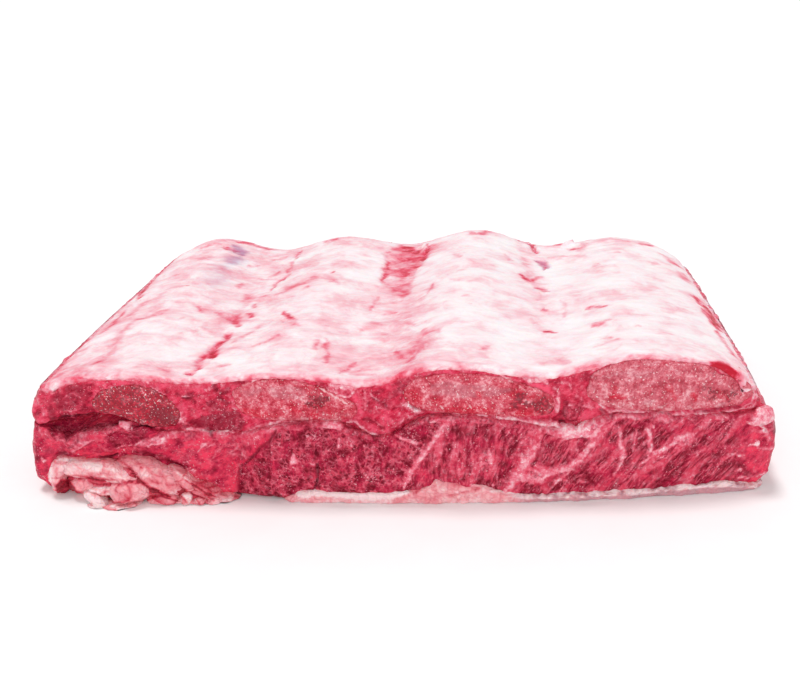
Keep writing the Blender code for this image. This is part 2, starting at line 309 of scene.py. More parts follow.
def ringOfSquare(front, side):
    # once round the unit square from its front left corner, with its sides' points close-set at the corners
    t = np.arange(front) / front
    s = (1 - np.cos(math.pi * np.arange(side) / side)) / 2
    u = np.concatenate((t, np.ones(side), 1 - t, np.zeros(side)))
    v = np.concatenate((np.zeros(front), s, np.ones(front), 1 - s))
    return u, v


def wrapRows(height, roundLow, roundHigh, step, under, over):
    # inset and level of each row: in from under the block, round its lower edge, up its side, round its
    # upper edge and in over it
    quarter = np.linspace(0, math.pi / 2, 5)
    sides = np.linspace(roundLow, height - roundHigh, max(2, int((height - roundLow - roundHigh) / step)))
    inset = [roundLow * (1 - np.sin(quarter)), 0 * sides[1:-1], roundHigh * (1 - np.cos(quarter))]
    level = [roundLow * (1 - np.cos(quarter)), sides[1:-1], height - roundHigh * (1 - np.sin(quarter))]
    under, over = np.array(under[::-1], float), np.array(over, float)
    inset = np.concatenate([under + roundLow] + inset + [over + roundHigh])
    level = np.concatenate([0 * under] + level + [0 * over + height])
    return inset, level / height


def wrapGrid(ring, rows, width, depth):
    # u, v and level of every point: each row is the square's ring, drawn in by that row's inset
    (ringU, ringV), (inset, level) = ring, rows
    insetU, insetV = inset[:, None] / width, inset[:, None] / depth
    u = insetU + (1 - 2 * insetU) * ringU[None, :]
    v = insetV + (1 - 2 * insetV) * ringV[None, :]
    return u, v, level[:, None] + 0 * u


def outward(points):
    # unit normals of a grid that closes on itself along its columns: the cross product of its two slopes
    alongColumns = np.roll(points, -1, axis=1) - np.roll(points, 1, axis=1)
    normals = np.cross(alongColumns, np.gradient(points, axis=0))
    return normals / np.maximum(np.linalg.norm(normals, axis=-1, keepdims=True), 1e-9)


def raised(points, relief):
    # the points moved out along their normals by the relief
    return points + outward(points) * relief[..., None]


def ringQuads(rows, columns):
    # each point's number, and quads between neighbouring rows that close on themselves
    number = np.arange(rows * columns).reshape(rows, columns)
    after = np.roll(number, -1, axis=1)
    quads = np.stack((number[:-1], after[:-1], after[1:], number[1:]), axis=-1)
    return number, quads.reshape(-1, 4).tolist()


def roundFaces(rows, columns):
    # quads between neighbouring rows; the first and the last row are closed by one face each
    number, quads = ringQuads(rows, columns)
    return quads + [number[0][::-1].tolist(), number[-1].tolist()]


def wrapFaces(rows, front, side):
    # quads between neighbouring rows; each end is zipped shut between its front and its back run
    columns = 2 * (front + side)
    number, quads = ringQuads(rows, columns)
    ahead = np.arange(front + 1)
    behind = 2 * front + side - ahead
    for ring, turn in ((number[0], -1), (number[-1], 1)):
        zipped = np.stack((ring[ahead[:-1]], ring[ahead[1:]], ring[behind[1:]], ring[behind[:-1]]), axis=-1)
        quads += zipped[:, ::turn].tolist()
        leftEnd = np.append(np.arange(behind[0], columns), 0)
        quads += [ring[front : front + side + 1][::turn].tolist(), ring[leftEnd][::turn].tolist()]
    return quads


def wrapBlock(block):
    # u, v and level of every point of a block, as a ring of columns times rows, and its faces
    width, height = block["size"]
    ring = ringOfSquare(*block["columns"])
    rows = wrapRows(height, *block["edge"], block["step"], block["under"], block["over"])
    u, v, level = wrapGrid(ring, rows, width, slab["depth"])
    return u, v, level, wrapFaces(len(u), *block["columns"])


def makePiece(name, points, faces, attributes, material, nodes):
    # points in the slab's millimetres become a mesh in the frame's metres, with its attributes by point
    flat = np.asarray(points, float).reshape(-1, 3)
    flat = (flat - (*slab["centre"], 0.0)) * mm
    mesh = bpy.data.meshes.new(name)
    mesh.from_pydata(flat, [], faces)
    for label, values in attributes.items():
        values = np.asarray(values, np.float32)
        vector = values.size == 3 * len(flat)
        layer = mesh.attributes.new(label, "FLOAT_VECTOR" if vector else "FLOAT", "POINT")
        layer.data.foreach_set("vector" if vector else "value", values.ravel())
    mesh.shade_smooth()
    mesh.update()
    piece = bpy.data.objects.new(name, mesh)
    bpy.context.scene.collection.objects.link(piece)
    mesh.materials.append(material)
    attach(piece, "root")
    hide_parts(*nodes)
    print(f"{name}: {len(flat)} points, {len(faces)} faces")


def linear(hexColour):
    # sRGB hex to linear light: the power 2.4 of the shifted value, and a straight line near black
    values = [int(hexColour[i : i + 2], 16) / 255 for i in (1, 3, 5)]
    return tuple(v / 12.92 if v <= 0.04045 else ((v + 0.055) / 1.055) ** 2.4 for v in values) + (1.0,)


def newMaterial(name):
    # an empty node tree, with the two functions that fill it and end it
    material = bpy.data.materials.new(name)
    material.use_nodes = True
    tree = material.node_tree
    tree.nodes.clear()
    output = tree.nodes.new("ShaderNodeOutputMaterial")

    def add(kind, sockets, out=0, stops=(), **settings):
        # one node with its settings, its sockets linked or set by name or in order, and a ramp's stops
        node = tree.nodes.new("ShaderNode" + kind)
        for key, value in settings.items():
            setattr(node, key, value)
        for key, value in sockets.items() if isinstance(sockets, dict) else enumerate(sockets):
            if isinstance(value, bpy.types.NodeSocket):
                tree.links.new(value, node.inputs[key])
            else:
                node.inputs[key].default_value = value
        if stops:
            ramp = node.color_ramp
            while len(ramp.elements) < len(stops):
                ramp.elements.new(1.0)
            for element, (place, colour) in zip(ramp.elements, stops):
                element.position = place
                element.color = linear(colour)
        return node.outputs[out]

    def finish(shader):
        # the shader becomes the surface
        tree.links.new(shader, output.inputs["Surface"])
        return material

    return add, finish


def meatMaterial(name, deep, middle, bright, netCell=2.1, streakWidth=2.8):
    # Raw cut muscle, wet: the eye sees dark to bright red lean with fine threads, a net of thin fat lines
    # where the piece has net, slanting fat streaks where it has streak, small pale glints, and near-black
    # painted shade in creases and slits where it has dark.
    # Cell and streak sizes are in mm.
    add, finish = newMaterial(name)
    place = add("TexCoord", {}, out=3)
    grain = add("Attribute", {}, out=1, attribute_name="grain")
    labels = ("fat", "dark", "tone", "net", "streak")
    fat, dark, tone, net, streak = (add("Attribute", {}, out=2, attribute_name=label) for label in labels)

    def fatLines(at, sway, cell, patch, thickness, core, strength, gap):
        # the walls between cells of that size in mm, thick where patches are strong and gone where weak
        bend = add("TexNoise", {"Vector": at, "Scale": sway, "Detail": 3.0}, out=1)
        bent = add("VectorMath", (bend, (0.0028,) * 3, at), operation="MULTIPLY_ADD")
        cells = add("TexVoronoi", {"Vector": bent, "Scale": 1000 / cell}, feature="DISTANCE_TO_EDGE")
        patches = add("TexNoise", {"Vector": at, "Scale": patch[0], "Detail": patch[1]})
        low, high, thin, thick = thickness
        width = add("MapRange", (patches, low, high, thin, thick))
        solid = add("Math", (width, core), operation="MULTIPLY")
        lines = add("MapRange", (cells, solid, width, strength, 0.0))
        gaps = add("MapRange", (patches, gap[0], gap[1]))
        return patches, add("Math", (lines, gaps), operation="MULTIPLY")

    patch, thickness = (260.0, 4.0), (0.38, 0.7, 0.07, 0.34)
    patches, lines = fatLines(place, 420.0, netCell, patch, thickness, 0.25, 0.8, (0.4, 0.56))
    blotNoise = {"Vector": place, "Scale": 620.0, "Detail": 5.0, "Roughness": 0.62, "Distortion": 0.9}
    blots = add("Math", (patches, 0.5, add("TexNoise", blotNoise)), operation="MULTIPLY_ADD")
    blots = add("MapRange", (blots, 0.79, 0.93, 0.0, 0.75))
    lines = add("Math", (lines, blots), operation="MAXIMUM")
    netFat = add("Math", (lines, net), operation="MULTIPLY")

    patch, thickness = (210.0, 2.0), (0.42, 0.68, 0.08, 0.42)
    _, bands = fatLines(grain, 330.0, streakWidth, patch, thickness, 0.35, 0.95, (0.42, 0.6))
    slivers = add("TexNoise", {"Vector": grain, "Scale": 1150.0, "Detail": 2.0, "Distortion": 0.5})
    slivers = add("MapRange", (slivers, 0.52, 0.64, 0.0, 0.85))
    bands = add("Math", (bands, slivers), operation="MAXIMUM")
    streakFat = add("Math", (bands, streak), operation="MULTIPLY")

    ragged = add("TexNoise", {"Vector": place, "Scale": 900.0, "Detail": 4.0, "Roughness": 0.65})
    edge = add("Math", (ragged, 1.3, -0.65), operation="MULTIPLY_ADD")
    broad = add("TexNoise", {"Vector": place, "Scale": 330.0, "Detail": 4.0, "Roughness": 0.6})
    edge = add("Math", (broad, 1.5, edge), operation="MULTIPLY_ADD")
    strokeFat = add("Math", (fat, edge), operation="ADD")
    strokeFat = add("MapRange", (strokeFat, 0.8, 1.4))
    dots = add("TexNoise", {"Vector": place, "Scale": 1500.0, "Detail": 2.0})
    crowds = add("TexNoise", {"Vector": place, "Scale": 130.0, "Detail": 2.0})
    dots = add("Math", (crowds, 0.35, dots), operation="MULTIPLY_ADD")
    glints = add("MapRange", (dots, 0.82, 0.89, 0.0, 0.85))
    marbling = add("Math", (netFat, streakFat), operation="MAXIMUM")
    marbling = add("Math", (marbling, strokeFat), operation="MAXIMUM")
    marbling = add("Math", (marbling, glints), operation="MAXIMUM")

    threads = add("VectorMath", (grain, (1.0, 0.4, 1.0)), operation="MULTIPLY")
    fibre = add("TexNoise", {"Vector": threads, "Scale": 1900.0, "Detail": 3.0})
    mottle = add("TexNoise", {"Vector": place, "Scale": 150.0, "Detail": 5.0, "Roughness": 0.65})
    shade = add("Math", (mottle, 2.3, -1.95), operation="MULTIPLY_ADD")
    shade = add("Math", (fibre, 0.9, shade), operation="MULTIPLY_ADD")
    shade = add("Math", (ragged, 0.7, shade), operation="MULTIPLY_ADD")
    shade = add("Math", (shade, tone), operation="ADD", use_clamp=True)
    lean = add("ValToRGB", (shade,), stops=((0.0, deep), (0.5, middle), (1.0, bright)))
    fatShade = add("TexNoise", {"Vector": place, "Scale": 600.0, "Detail": 4.0, "Roughness": 0.65})
    fatShade = add("Math", (fatShade, 1.6, -0.68), operation="MULTIPLY_ADD")
    whiter = add("MapRange", (fat, 0.45, 1.0, 0.0, 0.4))
    fatShade = add("Math", (fatShade, whiter), operation="ADD")
    fatShade = add("Math", (glints, 0.4, fatShade), operation="MULTIPLY_ADD")
    tints = ((0.0, "#d8405a"), (0.25, "#e56a80"), (0.5, "#f09cab"), (0.85, "#fdeaec"))
    fatTint = add("ValToRGB", (fatShade,), stops=tints)
    surface = add("Mix", {0: marbling, 6: lean, 7: fatTint}, out=2, data_type="RGBA")
    # painted shade: where dark is set, creases, slits and pits darken towards near-black red
    surface = add("Mix", {0: dark, 6: surface, 7: linear("#3a0410")}, out=2, data_type="RGBA")

    height = add("Math", (marbling, 0.6, fibre), operation="MULTIPLY_ADD")
    height = add("Math", (ragged, 0.8, height), operation="MULTIPLY_ADD")
    normal = add("Bump", {"Height": height, "Strength": 0.7, "Distance": 0.0006})
    roughness = add("MapRange", (mottle, 0.3, 0.7, 0.36, 0.16))
    return finish(add("BsdfPrincipled", {
        "Base Color": surface, "Roughness": roughness, "Normal": normal, "IOR": 1.38,
        "Specular IOR Level": 0.16, "Subsurface Weight": 0.06, "Subsurface Scale": 0.0015,
    }))


def boneMaterial():
    # Sawn raw rib: a speckled pink body, smooth greyish bands, wet red sponge, dark pores and pale flecks.
    add, finish = newMaterial("sawnRibBone")
    place = add("TexCoord", {}, out=3)
    labels = ("rim", "red", "dark", "pale", "grey")
    rim, red, dark, pale, grey = (add("Attribute", {}, out=2, attribute_name=label) for label in labels)
    grit = add("TexNoise", {"Vector": place, "Scale": 1100.0, "Detail": 5.0, "Roughness": 0.7})
    mottle = add("TexNoise", {"Vector": place, "Scale": 260.0, "Detail": 5.0, "Roughness": 0.7})
    patch = add("TexNoise", {"Vector": place, "Scale": 620.0, "Detail": 3.0, "Roughness": 0.6})

    def ragged(amount, spread, low, high):
        # a painted amount broken up by the middle-sized noise, then sharpened
        moved = add("Math", (patch, spread, amount), operation="MULTIPLY_ADD")
        return add("MapRange", (moved, low + spread / 2, high + spread / 2))

    shade = add("Math", (mottle, 1.8, -0.9), operation="MULTIPLY_ADD")
    shade = add("Math", (grit, 1.0, shade), operation="MULTIPLY_ADD", use_clamp=True)
    bodyTints = ((0.2, "#a80c2a"), (0.42, "#cb384f"), (0.6, "#de6c7c"), (0.85, "#f7b6bd"))
    bandTints = ((0.2, "#b85565"), (0.5, "#cf7683"), (0.85, "#e8a9b1"))
    spongeTints = ((0.2, "#a80a28"), (0.45, "#cc1836"), (0.66, "#dc4259"), (0.85, "#f0a0a8"))
    surface, smooth, sponge = (
        add("ValToRGB", (shade,), stops=tints) for tints in (bodyTints, bandTints, spongeTints)
    )
    fine = add("Math", (grit, 4.5, -2.25), operation="MULTIPLY_ADD")
    fine = add("Math", (fine, dark, dark), operation="MULTIPLY_ADD")
    pores = add("MapRange", (fine, 0.45, 0.95, 0.0, 0.85))
    dots = add("TexNoise", {"Vector": place, "Scale": 1500.0, "Detail": 2.0})
    glints = add("MapRange", (dots, 0.63, 0.72, 0.0, 0.85))
    shell = add("Math", (rim, mottle), operation="MULTIPLY")
    layers = (  # over the body, from the lowest up
        (ragged(grey, 1.5, 0.1, 1.1), smooth),
        (ragged(red, 2.2, 0.1, 1.0), sponge),
        (pores, linear("#760f24")),
        (ragged(pale, 2.4, 0.5, 1.35), linear("#f4c6ca")),
        (glints, linear("#fbe2e5")),
        (add("MapRange", (shell, 0.45, 0.7, 0.0, 0.6)), linear("#e0707f")),
    )
    for amount, colour in layers:
        surface = add("Mix", {0: amount, 6: surface, 7: colour}, out=2, data_type="RGBA")

    height = add("Math", (pores, -0.3, grit), operation="MULTIPLY_ADD")
    height = add("Math", (patch, 1.2, height), operation="MULTIPLY_ADD")
    normal = add("Bump", {"Height": height, "Strength": 0.7, "Distance": 0.0005})
    return finish(add("BsdfPrincipled", {
        "Base Color": surface, "Roughness": 0.4, "Normal": normal, "IOR": 1.45,
        "Specular IOR Level": 0.35, "Subsurface Weight": 0.06, "Subsurface Scale": 0.0015,
    }))


def membraneMaterial():
    # The skin inside the ribs: milky and a little glossy, with blood showing through and fibres across it.
    add, finish = newMaterial("ribMembrane")
    place = add("TexCoord", {}, out=3)
    blood, blue = (add("Attribute", {}, out=2, attribute_name=label) for label in ("blood", "blue"))
    sway = add("TexNoise", {"Vector": place, "Scale": 60.0, "Detail": 2.0}, out=1)
    swayed = add("VectorMath", (sway, (0.012,) * 3, place), operation="MULTIPLY_ADD")
    across = add("VectorMath", (swayed, (0.3, 1.0, 1.0)), operation="MULTIPLY")
    fibre = add("TexNoise", {"Vector": across, "Scale": 480.0, "Detail": 4.0, "Roughness": 0.62})
    cloud = add("TexNoise", {"Vector": swayed, "Scale": 62.0, "Detail": 5.0, "Roughness": 0.62})
    flecks = add("TexNoise", {"Vector": across, "Scale": 150.0, "Detail": 3.0})
    flecks = add("MapRange", (flecks, 0.62, 0.78, 0.0, 0.15))

    broken = add("VectorMath", (swayed, (0.75, 1.0, 1.0)), operation="MULTIPLY")
    broken = add("TexNoise", {"Vector": broken, "Scale": 230.0, "Detail": 5.0, "Roughness": 0.65})
    broken = add("MapRange", (broken, 0.3, 0.68, 0.4, 1.35))
    blood = add("Math", (blood, broken), operation="MULTIPLY")
    amount = add("Math", (cloud, 1.1, -0.56), operation="MULTIPLY_ADD")
    amount = add("Math", (fibre, 0.22, amount), operation="MULTIPLY_ADD")
    amount = add("Math", (amount, flecks), operation="ADD")
    amount = add("Math", (amount, blood), operation="ADD", use_clamp=True)
    milky = ((0.0, "#f9f0f2"), (0.14, "#f8e3e7"), (0.32, "#f3bdc7"))
    bloody = ((0.52, "#ec8799"), (0.74, "#e24763"), (1.0, "#c00c2c"))
    surface = add("ValToRGB", (amount,), stops=milky + bloody)
    surface = add("Mix", {0: blue, 6: surface, 7: linear("#9b8fb4")}, out=2, data_type="RGBA")
    height = add("Math", (cloud, 1.5, fibre), operation="MULTIPLY_ADD")
    normal = add("Bump", {"Height": height, "Strength": 0.35, "Distance": 0.0008})
    roughness = add("MapRange", (fibre, 0.3, 0.7, 0.36, 0.52))
    return finish(add("BsdfPrincipled", {
        "Base Color": surface, "Roughness": roughness, "Normal": normal, "IOR": 1.38,
        "Specular IOR Level": 0.4, "Subsurface Weight": 0.1, "Subsurface Scale": 0.003,
    }))


def fatMaterial():
    # Raw beef fat: waxy pinkish white lobules 3 mm wide, darker red in folds as painted shade, grey where
    # silverskin covers it.
    add, finish = newMaterial("rawBeefFat")
    place = add("TexCoord", {}, out=3)
    red, grey = (add("Attribute", {}, out=2, attribute_name=label) for label in ("red", "grey"))
    sway = add("TexNoise", {"Vector": place, "Scale": 200.0, "Detail": 3.0}, out=1)
    swayed = add("VectorMath", (sway, (0.009,) * 3, place), operation="MULTIPLY_ADD")
    lobules = add("TexVoronoi", {"Vector": swayed, "Scale": 330.0}, feature="DISTANCE_TO_EDGE")
    seams = add("MapRange", (lobules, 0.0, 0.16, 1.0, 0.0))
    mottle = add("TexNoise", {"Vector": place, "Scale": 170.0, "Detail": 4.0, "Roughness": 0.6})
    grit = add("TexNoise", {"Vector": place, "Scale": 1300.0, "Detail": 3.0})
    amount = add("Math", (mottle, 1.1, -0.42), operation="MULTIPLY_ADD")
    amount = add("Math", (seams, 0.08, amount), operation="MULTIPLY_ADD")
    amount = add("Math", (grit, 0.2, amount), operation="MULTIPLY_ADD")
    # red holds the fat's own tint from pale to red, plus painted shade in folds and creases and painted
    # highlights on some ridges
    amount = add("Math", (amount, red), operation="ADD", use_clamp=True)
    stops = ((0.0, "#fadadc"), (0.3, "#f09ba3"), (0.55, "#e06b79"), (0.8, "#c72d46"), (1.0, "#941228"))
    surface = add("ValToRGB", (amount,), stops=stops)
    skin = add("ValToRGB", (mottle,), stops=((0.3, "#9f707c"), (0.55, "#c7929c"), (0.75, "#e8c4ca")))
    surface = add("Mix", {0: grey, 6: surface, 7: skin}, out=2, data_type="RGBA")
    height = add("Math", (seams, -0.5, mottle), operation="MULTIPLY_ADD")
    height = add("Math", (grit, 0.35, height), operation="MULTIPLY_ADD")
    normal = add("Bump", {"Height": height, "Strength": 0.6, "Distance": 0.0008})
    return finish(add("BsdfPrincipled", {
        "Base Color": surface, "Roughness": 0.4, "Normal": normal, "IOR": 1.45,
        "Specular IOR Level": 0.35, "Subsurface Weight": 0.12, "Subsurface Scale": 0.003,
    }))


leanBeef = meatMaterial("leanBeef", "#76021f", "#b31a40", "#ef3c5c")
ribMeatBeef = meatMaterial("ribMeatBeef", "#8c0226", "#ce2244", "#f55776", netCell=3.0)
sawnRib = boneMaterial()
ribSkin = membraneMaterial()
beefFat = fatMaterial()
print("materials made")


def onCuts(v):
    # 1 on the two sawn ends of the slab and 2 mm behind them, falling to 0 at the reach of the cuts
    return smoothStep(slab["cutReach"], 2, fromCuts(v))


def onFrontPlane(points, v, seed):
    # where a point shows on the plane of the cut for the photo's eye, with a little noise; the back cut
    # shows the same strokes, drifted
    x, y, z = np.moveaxis(points, -1, 0)
    behind = np.where(v < 0.5, y - planY(x, 0.0), planY(x, 1.0) - y)
    drift = v * (5 + 6 * gradientNoise(points / 25, seed))
    x = x + 0.5 * fractalNoise(points, 7.0, seed + 1, 1) + 0.3 * fractalNoise(points, 2.4, seed + 2, 2)
    z = z + 0.5 * fractalNoise(points, 7.0, seed + 5, 1) + 0.3 * fractalNoise(points, 2.4, seed + 6, 2)
    return x + drift, z + eye["rise"] * np.minimum(behind, slab["cutReach"])
